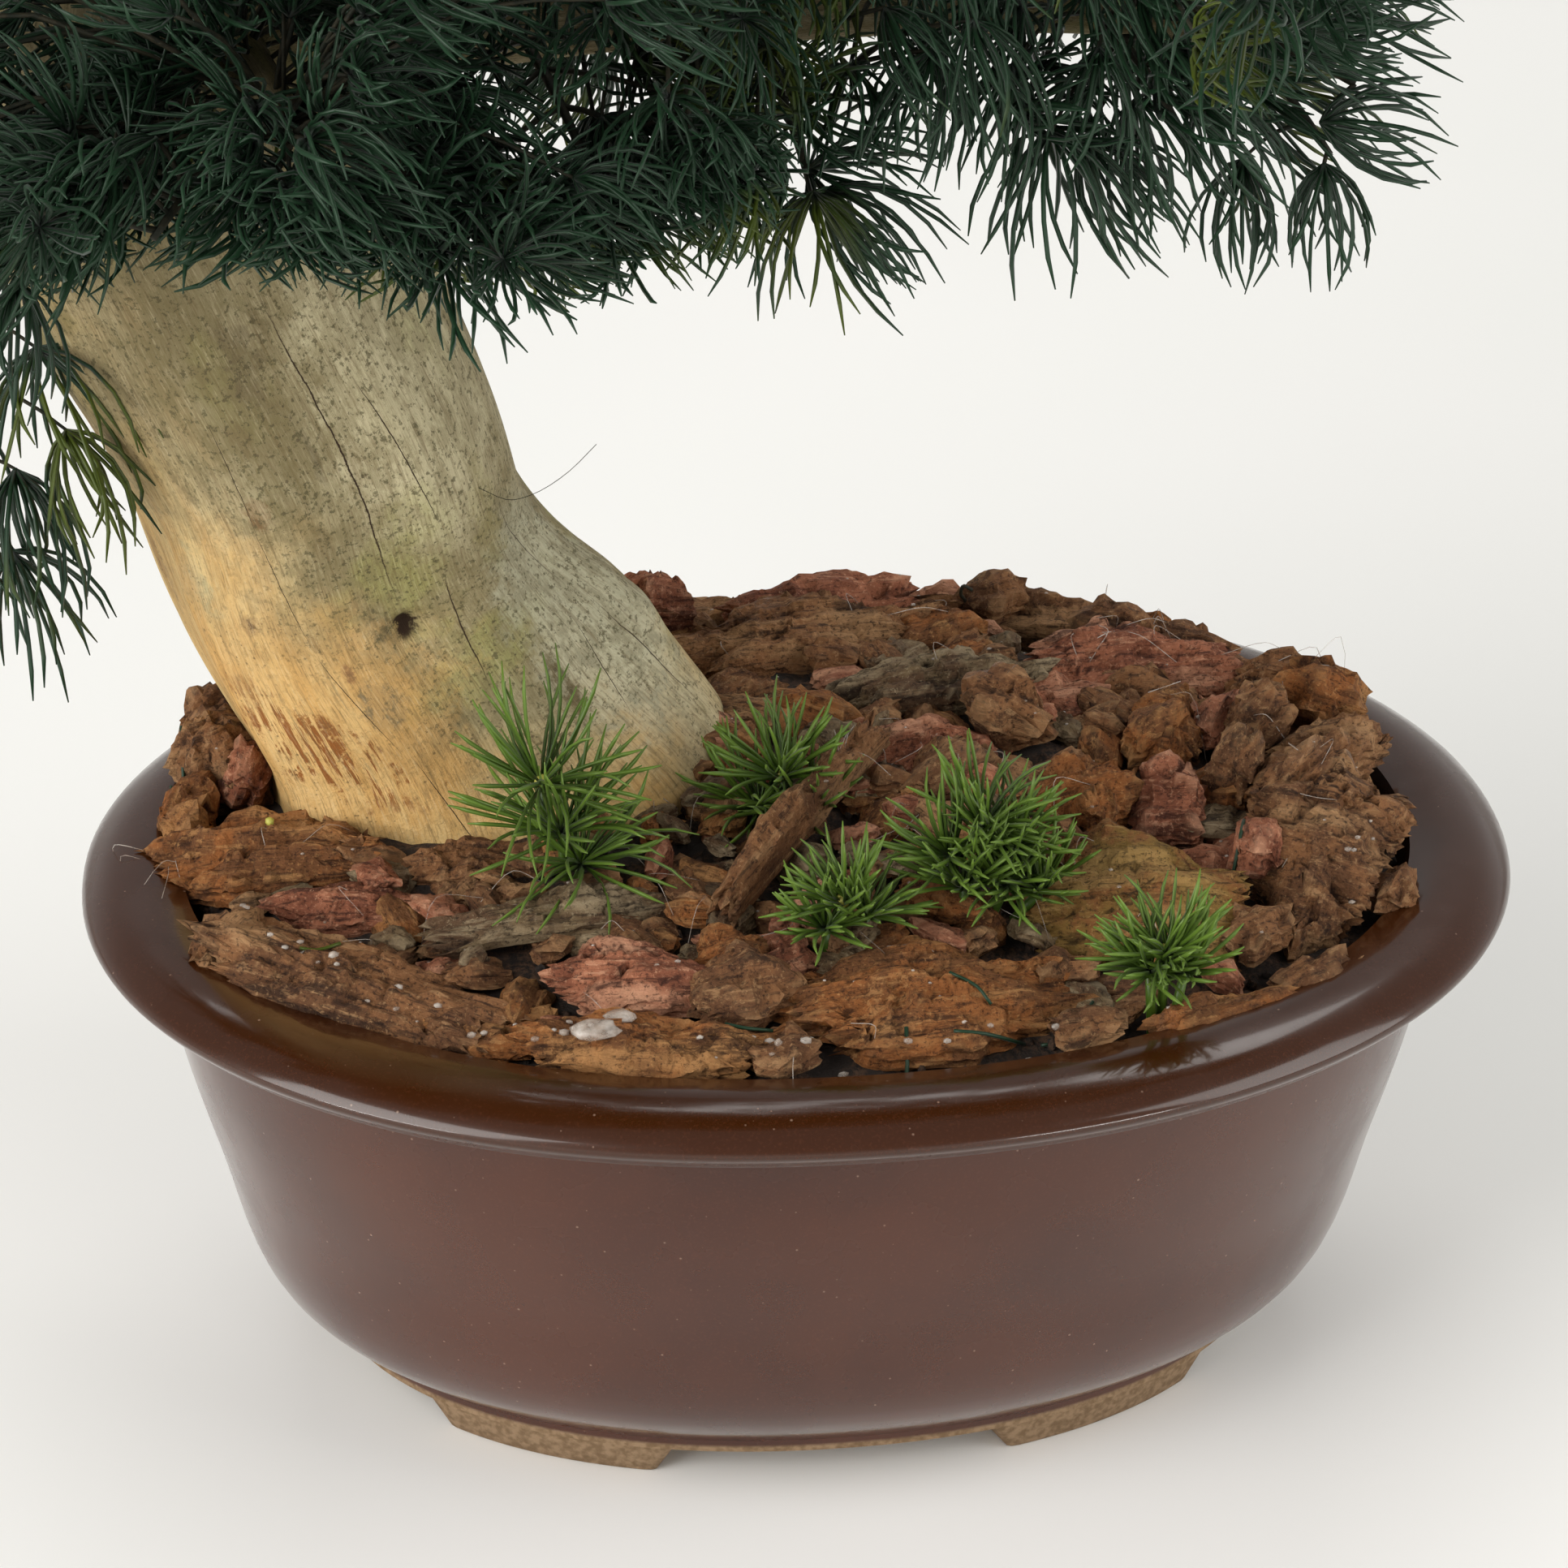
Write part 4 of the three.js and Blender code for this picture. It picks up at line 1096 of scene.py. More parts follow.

# %% [markdown]
# Between the large chips lie smaller ones and crumbs. They replace no solid. About fifty are
# placed one by one, where the photograph shows them or where the unseen back would be bare, and
# the crumbs are strewn by a seeded draw.

# %% Small chips and crumbs
SMALL_CHIPS = [
    ("red", -9, -52, 100, 16, 14, 6, 30, 10, 0, 1),
    ("brown", 85, -10, 106, 20, 12, 9, 40, 12, 6, 1),
    ("red", 47, 20, 108, 22, 12, 7, 16, 14, 0, 1),
    ("brown", 6, 22, 105, 20, 14, 8, -20, 12, 0, 1),
    ("orange", 73, -8, 105, 14, 12, 9, 10, 10, 0, 1),
    ("brown", -11, -76, 97, 12, 8, 5, 4, 6, 0, 0),
    ("brown", 39, -74, 97.5, 12, 9, 6, 0, 6, 0, 0),
    ("orange", -106, 10, 99, 9, 16, 9, 10, 0, 14, 1),
    ("red", 11, 60, 111, 34, 13, 6, 6, 20, 0, 1),
    ("brown", -100, -30, 97, 16, 10, 9, 50, 10, -10, 1),
    ("orange", 26, -24, 103, 24, 12, 6, 10, 10, 0, 1),
    ("red", 2, -34, 102, 22, 14, 6, 48, 10, 0, 1),
    ("brown", 36, -4, 105, 16, 12, 8, -30, 10, 0, 1),
    ("brown", 74, 44, 107, 22, 12, 7, -20, 20, 0, 1),
    ("orange", 30, 46, 110, 22, 14, 7, 14, 18, 0, 1),
    ("brown", -6, 30, 107, 20, 12, 8, 30, 10, 0, 1),
    ("brown", 66, 24, 107, 16, 12, 9, -10, 10, 0, 1),
    ("red", 78, 12, 107, 14, 10, 9, 60, 10, 0, 1),
    ("brown", 72, -48, 99, 16, 12, 6, 20, 10, 0, 1),
    ("brown", 82, 6, 110, 10, 14, 15, 24, 22, 10, 0),
    ("orange", 96, 16, 109, 17, 14, 12, -20, 24, 14, 1),
    ("brown", 76, -8, 109, 12, 8, 15, 66, 18, 8, 0),
    ("red", 62, -14, 106, 14, 16, 12, -24, 26, -10, 0),
    ("orange", 63, 4, 110, 14, 8, 12, 40, 20, 0, 0),
    ("brown", 38, 10, 113, 17, 12, 12, -40, 28, 8, 1),
    ("brown", 26, -4, 108, 20, 12, 9, 34, 20, 0, 1),
    ("orange", 4, 16, 109, 15, 12, 12, -30, 24, 10, 0),
    ("brown", 40, -24, 104, 18, 14, 9, 20, 18, 0, 1),
    ("brown", -16, -60, 101, 18, 16, 9, 10, 16, 0, 1),
    ("brown", 44, 62, 109, 14, 10, 10, 10, 24, 0, 1),
    ("brown", 64, 44, 110, 16, 12, 10, -30, 30, 6, 1),
    ("red", 76, -30, 105, 12, 9, 11, 80, 14, 0, 0),
    ("brown", 90, -10, 108, 20, 10, 13, 52, 26, 0, 1),
    ("orange", -106, 16, 99, 12, 10, 12, 60, 10, 12, 0),
    ("red", -96, 20, 103, 12, 9, 13, 80, 20, 0, 0),
    ("brown", -101, 36, 105, 14, 12, 12, 30, 20, 0, 1),
    ("brown", -100, -36, 94, 14, 9, 6, -40, 10, 0, 0),
    ("orange", -60, -62, 94.5, 22, 8, 5, -24, 10, 0, 0),
    ("red", -88, -40, 95.5, 20, 9, 5, -32, 10, 0, 0),
    ("brown", 80, -58, 95.5, 16, 8, 6, 34, 8, 0, 0),
    ("brown", 99, -34, 97, 14, 9, 8, 62, 8, 8, 0),
    ("brown", -8, 82, 98, 30, 12, 7, 4, -12, 0, 1),
    ("red", 22, 80, 99, 26, 12, 8, -10, -14, 0, 1),
    ("brown", 48, 74, 99, 28, 13, 7, -24, -12, 0, 1),
    ("orange", 72, 60, 100, 24, 14, 8, -44, -10, 0, 1),
    ("brown", 90, 42, 99, 22, 13, 8, -64, -10, 0, 1),
    ("red", -34, 82, 97, 20, 10, 7, 20, -10, 0, 1),
    ("brown", -74, 66, 97, 24, 12, 7, 36, -8, 0, 1),
    ("orange", -92, 48, 99, 20, 12, 8, 56, -8, 0, 1),
    ("red", 34, 66, 104, 22, 12, 8, -14, 10, 0, 1),
]


STREWN = 200
STREWN_REACH = 99
TRUNK_FOOT = Vector((-54, 26)) * MM
SMALL_CELL = 1.8
COVERED_HALF = 0.42


def clear_of_trunk(x, y, reach):
    """True where a place lies further than the reach from the middle of the trunk's foot."""
    return math.hypot(x - TRUNK_FOOT.x, y - TRUNK_FOOT.y) > reach


def covered(x, y, rows):
    """True where a place in mm lies well inside one of the rows of chips."""
    for row in rows:
        away = Matrix.Rotation(math.radians(-row[7]), 2) @ Vector((x - row[1], y - row[2]))
        if abs(away.x) < COVERED_HALF * row[4] and abs(away.y) < COVERED_HALF * row[5]:
            return True
    return False


placed = list(CHIPS.values()) + SMALL_CHIPS
strewn = random.Random(31)
rows = list(SMALL_CHIPS)
while len(rows) < len(SMALL_CHIPS) + STREWN:
    angle = strewn.uniform(0, 2 * math.pi)
    reach = STREWN_REACH * math.sqrt(strewn.random()) * MM
    x, y = plan_point(reach, angle)
    if not clear_of_trunk(x, y, 42 * MM) or covered(x / MM, y / MM, placed):
        continue
    length = strewn.uniform(6, 14)
    high = bed_height(x, y) / MM + strewn.uniform(1.0, 4)
    turns = [strewn.uniform(-80, 80), strewn.uniform(-22, 22), strewn.uniform(-22, 22)]
    kind = strewn.choice(["brown", "orange", "red", "brown", "grey"])
    broad = length * strewn.uniform(0.45, 0.8)
    rows.append((kind, x / MM, y / MM, high, length, broad, strewn.uniform(3, 6), *turns, 0))
for kind in ("orange", "red", "brown", "grey"):
    bm, _ = marked_bmesh("grain_place")
    for number, row in enumerate(rows):
        if row[0] == kind:
            add_chip(bm, row[1:], number + 60.0, SMALL_CELL)
    finish_piece(bm, "small_chips_" + kind, [BARKS[kind]], crease=24)
print("small chips:", len(rows))

# %% [markdown]
# Ming fern carries tufts of soft needles that spring from one point and curve back together,
# like the ribs of a half closed umbrella. Thousands of needles would be slow to model one by
# one, so a few kinds of tuft are grown once and each copy is turned and sized differently.

# %% Tufts of needles
NEEDLE_LENGTH = 23 * MM
NEEDLE_RADIUS = 0.42 * MM
GOLDEN_TURN = 2.39996


def needle_points(heading, side, opening, closing, length, steps, wave):
    """A needle that leaves at an angle to the heading and bends back towards it."""
    place = Vector((0, 0, 0))
    points = [place]
    for i in range(steps):
        share = (i + 0.5) / steps
        lean = opening * (1 - closing * share)
        swing = wave * share
        direction = heading * math.cos(lean) + side * math.sin(lean)
        direction = direction + heading.cross(side) * swing
        place = place + direction.normalized() * (length / steps)
        points.append(place)
    return points


def tuft_mesh(seed, needles, opening, closing, length, radius, steps):
    """One tuft about the Z direction, with each needle's share and tone as an attribute."""
    draw = random.Random(seed)
    bm, look = marked_bmesh("needle_look")
    axis = Vector((0, 0, 1))
    for i in range(needles):
        turn = i * GOLDEN_TURN + draw.uniform(-0.4, 0.4)
        side = Vector((math.cos(turn), math.sin(turn), 0))
        spread = 0.25 + 0.75 * math.sqrt((i + 0.5) / needles)
        lean = opening * spread * draw.uniform(0.85, 1.12)
        long = length * draw.uniform(0.7, 1.06)
        bend = closing * draw.uniform(0.75, 1.2)
        points = needle_points(axis, side, lean, bend, long, steps, draw.uniform(-0.8, 0.8))
        radii = [radius * (0.8 + 0.2 * min(1, 4 * k / steps)) for k in range(steps)] + [radius * 0.3]
        tone = draw.random()
        for number, ring in enumerate(grow_tube(bm, points, radii, 3)):
            for vert in ring:
                vert[look] = (number / steps, tone, 0)
    return settled(bm, "tuft")


def tuft_kinds(seeds, needles, opening, closing, radius, steps):
    return [
        tuft_mesh(seed, needles, opening, closing, NEEDLE_LENGTH, radius, steps) for seed in seeds
    ]


TUFTS = {
    "hang": tuft_kinds(range(6), 24, 1.25, 1.4, NEEDLE_RADIUS, 5),
    "open": tuft_kinds(range(20, 25), 24, 1.55, 0.95, NEEDLE_RADIUS, 5),
    "far": tuft_kinds(range(40, 45), 18, 1.45, 1.1, NEEDLE_RADIUS * 1.1, 3),
}
print("faces of a tuft:", {kind: len(meshes[0].polygons) for kind, meshes in TUFTS.items()})

# %% [markdown]
# Preserved fern is dyed: a deep green that turns blue in the shade, with a faint pale sheen
# along each needle where the light grazes it. The tone drifts from tuft to tuft and from
# needle to needle, and a few inner needles stay olive. Each needle is painted lighter towards
# its tip: painted shade at the heart of the tuft and painted light on the tips.

# %% Fern materials


# Round this place the needles are old and olive
OLIVE_HEART = Vector((-10, -36, 258)) * MM
OLIVE_REACH = 24 * MM


def needle_material(name, deep, light, tip, olive=None, roughness=0.45):
    material, tree, shader = new_material(name, roughness=roughness, specular=0.35)
    look = tree.nodes.new("ShaderNodeSeparateXYZ")
    tree.links.new(attribute(tree, "needle_look").outputs["Vector"], look.inputs[0])
    place = object_place(tree)
    drift = between(tree, cloudy(tree, place, 38.0, 2.0), 0.35, 0.65)
    tone = calculate(tree, "MULTIPLY_ADD", look.outputs["Y"], 0.6, calculate(tree, "MULTIPLY", drift, 0.4))
    body = mixed(tree, tone, colour(*deep), colour(*light))
    # Painted light and shade: each needle grows lighter towards its tip and stays dark at the tuft's heart
    body = layered(tree, body, (look.outputs["X"], 0.2, 1.0, 0.5, tip))
    if olive is not None:
        moved = stretch(tree, place, (1, 1, 1), (3, 1, 4))
        inner = between(tree, cloudy(tree, moved, 20.0, 2.0), 0.58, 0.66)
        heart = tree.nodes.new("ShaderNodeVectorMath")
        heart.operation = "DISTANCE"
        heart.inputs[1].default_value = OLIVE_HEART
        tree.links.new(place, heart.inputs[0])
        old = between(tree, heart.outputs["Value"], OLIVE_REACH, OLIVE_REACH / 2)
        old = calculate(tree, "MULTIPLY", old, between(tree, look.outputs["Y"], 0.3, 0.6))
        body = mixed(tree, calculate(tree, "MAXIMUM", inner, old), body, colour(*olive))
    feed(tree, shader.inputs["Base Color"], body)
    shader.inputs["Sheen Weight"].default_value = 0.06
    shader.inputs["Sheen Roughness"].default_value = 0.4
    roughen(tree, shader, (cloudy(tree, place, 1500.0, 2.0), 0.1, 0.4))
    return material


def twig_material():
    material, tree, shader = new_material("twig", roughness=0.7, specular=0.3)
    place = object_place(tree)
    knots = cloudy(tree, place, 500.0, 4.0)
    body = layered(tree, colour(24, 28, 18), (knots, 0.35, 0.65, 1.0, (46, 42, 28)))
    feed(tree, shader.inputs["Base Color"], body)
    roughen(tree, shader, (knots, 0.3, 1.0))
    return material


FERN = needle_material("fern_needles", (13, 38, 18), (18, 48, 26), (25, 56, 33), (64, 76, 12))
TWIG = twig_material()

# %% [markdown]
# A spray is a thin stem that leaves its limb, arches and droops. Side twigs leave it in turn to
# the left and right, fork again, and every end carries a tuft. The stem follows the same curve
# as its solid in the frame, so the finer spray stays where that one is.

# %% Spray shape
STEM_RADIUS = 1.1 * MM
TWIG_RADII = radii_of(0.6, 0.55, 0.5, 0.45, 0.4)
FORK_RADII = radii_of(0.42, 0.4, 0.36)
SHOOT_RADII = radii_of(0.5, 0.45, 0.4)
REACH = Vector((163, 92, 448)) * MM
# To the right and low down the fern is thin, so that light shows through it
LACY_RIGHT_OF = -12 * MM
LACY_BELOW = 262 * MM
STEM_POINTS = 9

SPRAYS = {
    "spray_low_right_front": ("lowRight", 0.3, (-36, -62, 236)),
    "spray_low_right_drooping": ("lowRight", 0.5, (-2, -40, 229)),
    "spray_low_right_outer": ("lowRight", 0.82, (62, -22, 226)),
    "spray_low_right_end": ("lowRight", 0.97, (84, -20, 226)),
    "spray_low_right_tip": ("lowRight", 0.92, (86, -26, 240)),
    "spray_low_right_back": ("lowRight", 0.7, (48, 42, 238)),
    "spray_low_back": ("lowRight", 0.4, (-18, 50, 232)),
    "spray_front_right": ("front", 0.8, (-62, -74, 238)),
    "spray_front_left": ("front", 0.97, (-104, -76, 242)),
    "spray_front_low": ("front", 0.6, (-124, -44, 232)),
    "spray_left_hanging": ("lowLeft", 0.86, (-139, 14, 152)),
    "spray_left_end": ("lowLeft", 0.97, (-152, -18, 214)),
    "spray_left_back": ("lowLeft", 0.7, (-140, 48, 232)),
    "spray_back_right": ("back", 0.95, (-30, 82, 262)),
    "spray_back_left": ("back", 0.6, (-100, 78, 262)),
    "spray_mid_right_end": ("midRight", 0.97, (151, -12, 308)),
    "spray_mid_right_front": ("midRight", 0.8, (96, -66, 312)),
    "spray_mid_right_back": ("midRight", 0.66, (64, 66, 316)),
    "spray_mid_inner": ("midRight", 0.45, (18, -66, 322)),
    "spray_mid_left_end": ("midLeft", 0.95, (-152, -30, 308)),
    "spray_mid_left_front": ("midLeft", 0.6, (-104, -70, 326)),
    "spray_crown_right": ("crownRight", 0.93, (62, -20, 372)),
    "spray_crown_front": ("crownRight", 0.5, (-26, -68, 376)),
    "spray_crown_back": ("trunk", 0.91, (-10, 66, 380)),
    "spray_crown_left": ("trunk", 0.88, (-86, 4, 378)),
    "spray_crown_top": ("trunk", 0.98, (-4, -4, 434)),
}


def stem_points(root, tip, count):
    """The spray's main stem: an arch from the limb to the tip."""
    reach = math.hypot(tip.x - root.x, tip.y - root.y)
    drop = root.z - tip.z
    shoulder = root.lerp(tip, 0.45)
    shoulder.z = max(root.z, tip.z) + 0.06 * reach
    if drop < -0.012:
        shoulder.z = (root.z + tip.z) / 2 + 0.1 * reach
    if drop > 2 * reach:
        shoulder.z = root.z - 0.2 * drop
    points = []
    for i in range(count):
        share = i / (count - 1)
        points.append(root.lerp(shoulder, share).lerp(shoulder.lerp(tip, share), share))
    return points


def bent_twig(start, heading, length, droop, count=5):
    """A twig that leaves along its heading and sinks under its own weight."""
    points = [start]
    for i in range(1, count):
        share = i / (count - 1)
        points.append(start + heading * length * share + Vector((0, 0, -droop * length * share ** 2)))
    return points


# The canopy's lower edge in the camera's view: how far right of the aim, and how high, in mm
UNDERSIDE = [
    (-190, 60), (-150, 82), (-137, 88), (-123, 93), (-118, 97), (-97, 97), (-90, 90), (-76, 90),
    (-70, 94), (-60, 88), (-49, 87), (-35, 88), (-26, 92), (-19, 95), (-11, 99), (-2, 103),
    (5, 104), (14, 110), (26, 115), (37, 112), (47, 108), (58, 112), (66, 118), (100, 130),
    (130, 142), (160, 165), (400, 220),
]


def underside(right):
    for (x0, h0), (x1, h1) in zip(UNDERSIDE, UNDERSIDE[1:]):
        if right < x1 * MM:
            return mix(h0, h1, max(0.0, (right / MM - x0) / (x1 - x0))) * MM
    return UNDERSIDE[-1][1] * MM


def above_edge(place, margin=0.0):
    """True above the canopy's lower edge as the camera sees it."""
    right, height = seen(place)
    return height > underside(right) + margin * MM


def within_reach(place, margin=2.0):
    """True inside the crown: not beyond its outline, and not below its lower edge."""
    inside = abs(place.x) < REACH.x and abs(place.y) < REACH.y and place.z < REACH.z
    return inside and above_edge(place, margin)


def add_tuft(bm, kind, place, lead, spin, size, sag):
    """Puts one tuft at a place along its lead, and lets its outer needles sag."""
    turn = lead.to_track_quat("Z", "Y").to_matrix().to_4x4()
    matrix = Matrix.Translation(place) @ turn @ Matrix.Rotation(spin, 4, "Z") @ Matrix.Scale(size, 4)
    copy = kind.copy()
    copy.transform(matrix)
    for vert in copy.vertices:
        away = vert.co - place
        vert.co.z -= sag * (away.x * away.x + away.y * away.y)
    bm.from_mesh(copy)
    bpy.data.meshes.remove(copy)


def hang_tuft(bm, place, heading, draw, size=1.0, droop=0.55, far=False):
    """One tuft drawn from its kinds, pulled from its heading towards the ground."""
    if not within_reach(place):
        return 0
    jitter = Vector([draw.uniform(-0.5, 0.5) for _ in range(3)])
    lead = (heading + Vector((0, 0, -droop)) + jitter).normalized()
    lifts = 0
    while not above_edge(place + lead * size * NEEDLE_LENGTH) and lifts < 4:
        lead = (lead + Vector((0, 0, 0.45))).normalized()
        lifts += 1
    if lifts == 4:
        return 0
    kinds = TUFTS["far"] if far else TUFTS["hang"] if draw.random() < 0.6 else TUFTS["open"]
    spin = draw.uniform(0, 2 * math.pi)
    add_tuft(bm, draw.choice(kinds), place, lead, spin, size * draw.uniform(0.8, 1.05), draw.uniform(6, 14))
    return 1


def grow_spray(bm, root, tip, draw, pairs, twig_length, far, droop=0.25):
    """Grows the stem, its side twigs with their forks, and a tuft on every end."""
    stem = stem_points(root, tip, STEM_POINTS)
    tubes = bmesh.new()
    grow_tube(tubes, stem, [STEM_RADIUS * (1 - 0.06 * i) for i in range(STEM_POINTS)], 6)
    tufts = hang_tuft(bm, stem[-1], (stem[-1] - stem[-2]).normalized(), draw, 1.05, droop, far)
    for i in range(pairs):
        share = mix(0.3, 0.96, i / max(1, pairs - 1))
        index = min(int(share * 8), 7)
        start = stem[index].lerp(stem[index + 1], share * 8 - index)
        forward = (stem[index + 1] - stem[index]).normalized()
        for sign in (-1, 1):
            angle = math.radians(sign * draw.uniform(42, 78))
            heading = Matrix.Rotation(angle, 3, "Z") @ forward
            heading.z = heading.z * 0.4 + draw.uniform(-0.35, 0.55)
            heading.normalize()
            length = twig_length * mix(1.0, 0.6, share) * draw.uniform(0.75, 1.15)
            twig = bent_twig(start, heading, length, draw.uniform(0.05, 0.4))
            lacy = twig[-1].x > LACY_RIGHT_OF and twig[-1].z < LACY_BELOW
            if not within_reach(twig[-1]) or lacy and draw.random() < 0.5:
                continue
            grow_tube(tubes, twig, TWIG_RADII, 4)
            end_heading = (twig[-1] - twig[-2]).normalized()
            tufts += hang_tuft(bm, twig[-1], end_heading, draw, 1.0, droop, far)
            for fork, place in ((-1, twig[2]), (1, twig[3])):
                if lacy and draw.random() < 0.4:
                    continue
                side = Matrix.Rotation(math.radians(fork * draw.uniform(40, 80)), 3, "Z") @ heading
                side.z += draw.uniform(-0.3, 0.6)
                side.normalize()
                short = bent_twig(place, side, draw.uniform(6, 11) * MM, 0.2, 3)
                grow_tube(tubes, short, FORK_RADII, 3)
                tufts += hang_tuft(bm, short[-1], side, draw, 0.92, droop, far)
    pour(bm, tubes, material=1)
    return tufts


# Tufts of the canopy's lower edge, as the photograph shows them. Each spray has its own, with
# their place in mm, lead, kind and size
EDGE_TUFTS = {
    "spray_low_right_tip": [
        ((80, -29, 235), (1, 0, -0.05), "hang", 1), ((75, -29, 248), (1, 0.1, 0.05), "hang", 0.95),
        ((71, -28, 253), (0.8, 0, 0.3), "hang", 0.95), ((82, -29, 255), (0.9, 0, 0.1), "hang", 0.95),
        ((63, -32, 262), (0.6, -0.4, -0.2), "open", 1),
    ],
    "spray_low_right_end": [
        ((81, -29, 228), (0.1, 0, -1), "hang", 0.95), ((69, -23, 227), (0, -0.1, -1), "hang", 0.95),
        ((71, -18, 237), (0.8, 0, -0.5), "hang", 1),
    ],
    "spray_low_right_outer": [
        ((35, -39, 239), (0.1, -0.1, -1), "open", 1.09),
        ((41, -35, 236), (0.7, -0.1, -0.8), "hang", 1.09), ((49, -36, 243), (0.3, 0, -0.9), "hang", 1),
        ((60, -32, 241), (0.5, 0, -0.7), "hang", 1), ((54, -36, 251), (0.6, 0, -0.5), "hang", 0.95),
        ((29, -38, 250), (-0.3, -0.2, -0.8), "hang", 0.95),
        ((42, -40, 253), (0, -0.3, -0.9), "hang", 0.95), ((23, -38, 273), (0.4, -0.5, -0.4), "open", 1),
        ((33, -38, 271), (0, -0.6, -0.4), "open", 1), ((43, -36, 268), (0.5, -0.4, -0.4), "open", 1),
        ((53, -34, 264), (0.2, -0.5, -0.4), "open", 1),
    ],
    "spray_low_right_drooping": [
        ((15, -47, 256), (-0.2, -0.3, -0.7), "hang", 0.95),
        ((21, -48, 261), (0.2, -0.3, -0.6), "hang", 0.95),
        ((-3, -45, 233), (0.2, -0.1, -1), "open", 0.95),
        ((-1, -42, 232), (0.8, -0.1, -0.6), "hang", 1.04), ((-3, -38, 234), (0.9, 0, -0.2), "open", 1),
        ((-11, -44, 244), (-0.2, -0.3, -0.8), "hang", 0.95),
        ((-6, -40, 268), (-0.3, -0.6, -0.4), "open", 0.9),
        ((4, -38, 272), (0.3, -0.6, -0.4), "open", 0.95),
        ((13, -40, 274), (-0.2, -0.5, -0.5), "open", 1),
        ((8, -44, 262), (0.4, -0.5, -0.5), "hang", 0.9),
        ((-12, -46, 262), (-0.1, -0.6, -0.4), "open", 0.9),
    ],
    "spray_low_right_front": [
        ((-18, -48, 247), (0.35, -0.7, -0.45), "hang", 0.82),
        ((-26, -57, 243), (0.95, -0.7, -0.45), "hang", 0.82),
        ((-33, -59, 239), (1.1, -0.7, -0.45), "hang", 0.82),
        ((-40, -60, 241), (0.2, -0.7, -0.45), "open", 0.82),
    ],
    "spray_front_right": [
        ((-52, -65, 240), (1.1, -0.7, -0.45), "hang", 0.82),
        ((-63, -69, 243), (0.28, -0.7, -0.45), "open", 0.82),
        ((-69, -69, 246), (-0.95, -0.7, -0.45), "hang", 0.82),
        ((-82, -69, 249), (0.65, -0.7, -0.45), "hang", 0.82),
    ],
    "spray_front_left": [
        ((-92, -68, 245), (0.65, -0.7, -0.45), "hang", 0.82),
        ((-103, -69, 255), (-0.65, -0.7, -0.45), "hang", 0.82),
        ((-113, -66, 251), (-0.65, -0.7, -0.45), "open", 0.82),
    ],
    "spray_front_low": [
        ((-120, -53, 242), (0.2, -0.7, -0.45), "hang", 0.82),
        ((-126, -36, 220), (-0.1, -0.2, -1), "hang", 1),
    ],
    "spray_left_hanging": [
        ((-126, 2, 193), (0.2, -0.3, -1), "open", 1.1),
        ((-122, 2, 178), (0.35, -0.2, -1), "hang", 1.05),
        ((-131, 5, 170), (0.1, -0.2, -1), "hang", 1.1), ((-133, 7, 154), (0.2, -0.1, -1), "open", 1.1),
        ((-138, 10, 179), (-0.4, -0.1, -0.9), "hang", 1.1),
    ],
}


def join_twig(tubes, points, place):
    """A bent twig to a tuft from the nearest of the given points of a stem or limb."""
    near = min(points, key=lambda point: (point - place).length)
    sink = Vector((0, 0, 0.12 * (place - near).length))
    twig = sampled([near, near.lerp(place, 0.55) + sink, place], 5)
    grow_tube(tubes, twig, [0.5 * MM * (1 - 0.08 * i) for i in range(5)], 4)
    return (twig[-1] - twig[-2]).normalized()


def clothe_limb(bm, tubes, points, draw, count, start, thick, far):
    """Tufts on short twigs all round a limb, so that the fern hides its wood."""
    made = 0
    for i in range(count):
        share = mix(start, 1.0, (i + draw.random()) / count)
        root = curve_place(points, share)
        axis = (curve_place(points, min(share + 0.02, 1)) - curve_place(points, share - 0.02)).normalized()
        heading = Vector([draw.uniform(-1, 1) for _ in range(3)]).normalized()
        heading = (heading - axis * heading.dot(axis) * 0.6).normalized()
        if heading.z < -0.5:
            heading.z *= -0.6
        end = root + heading * (thick + draw.uniform(4, 15)) * MM
        if within_reach(end):
            grow_tube(tubes, [root, root.lerp(end, 0.5), end], SHOOT_RADII, 3)
            made += hang_tuft(bm, end, heading, draw, 1.0, 0.25, far)
    return made


# %% Make the sprays
LOW_LIMBS = ["lowRight", "lowLeft", "front", "back"]
all_tufts = 0
for number, (name, (wood, share, tip)) in enumerate(SPRAYS.items()):
    draw = random.Random(100 + number)
    bm, _ = marked_bmesh("needle_look")
    root = curve_place(LIMB_AXES[wood], share)
    end = Vector(tip) * MM
    all_tufts += grow_spray(bm, root, end, draw, 5, 27 * MM, wood not in LOW_LIMBS)
    stem = stem_points(root, end, STEM_POINTS)
    tubes = bmesh.new()
    for place, lead, kind, size in EDGE_TUFTS.get(name, []):
        spot = Vector(place) * MM
        join_twig(tubes, stem[2:], spot)
        toward = Vector(lead).normalized()
        add_tuft(bm, draw.choice(TUFTS[kind]), spot, toward, draw.uniform(0, 6), size, 10)
        all_tufts += 1
    pour(bm, tubes, material=1)
    finish_piece(bm, name + "_needles", [FERN, TWIG], [name])
print("tufts of fern on the sprays:", all_tufts)

# %% [markdown]
# Between the sprays the limbs themselves carry fern. These tufts stand for no solid: they close
# the canopy, so that no bare limb shows from any side.

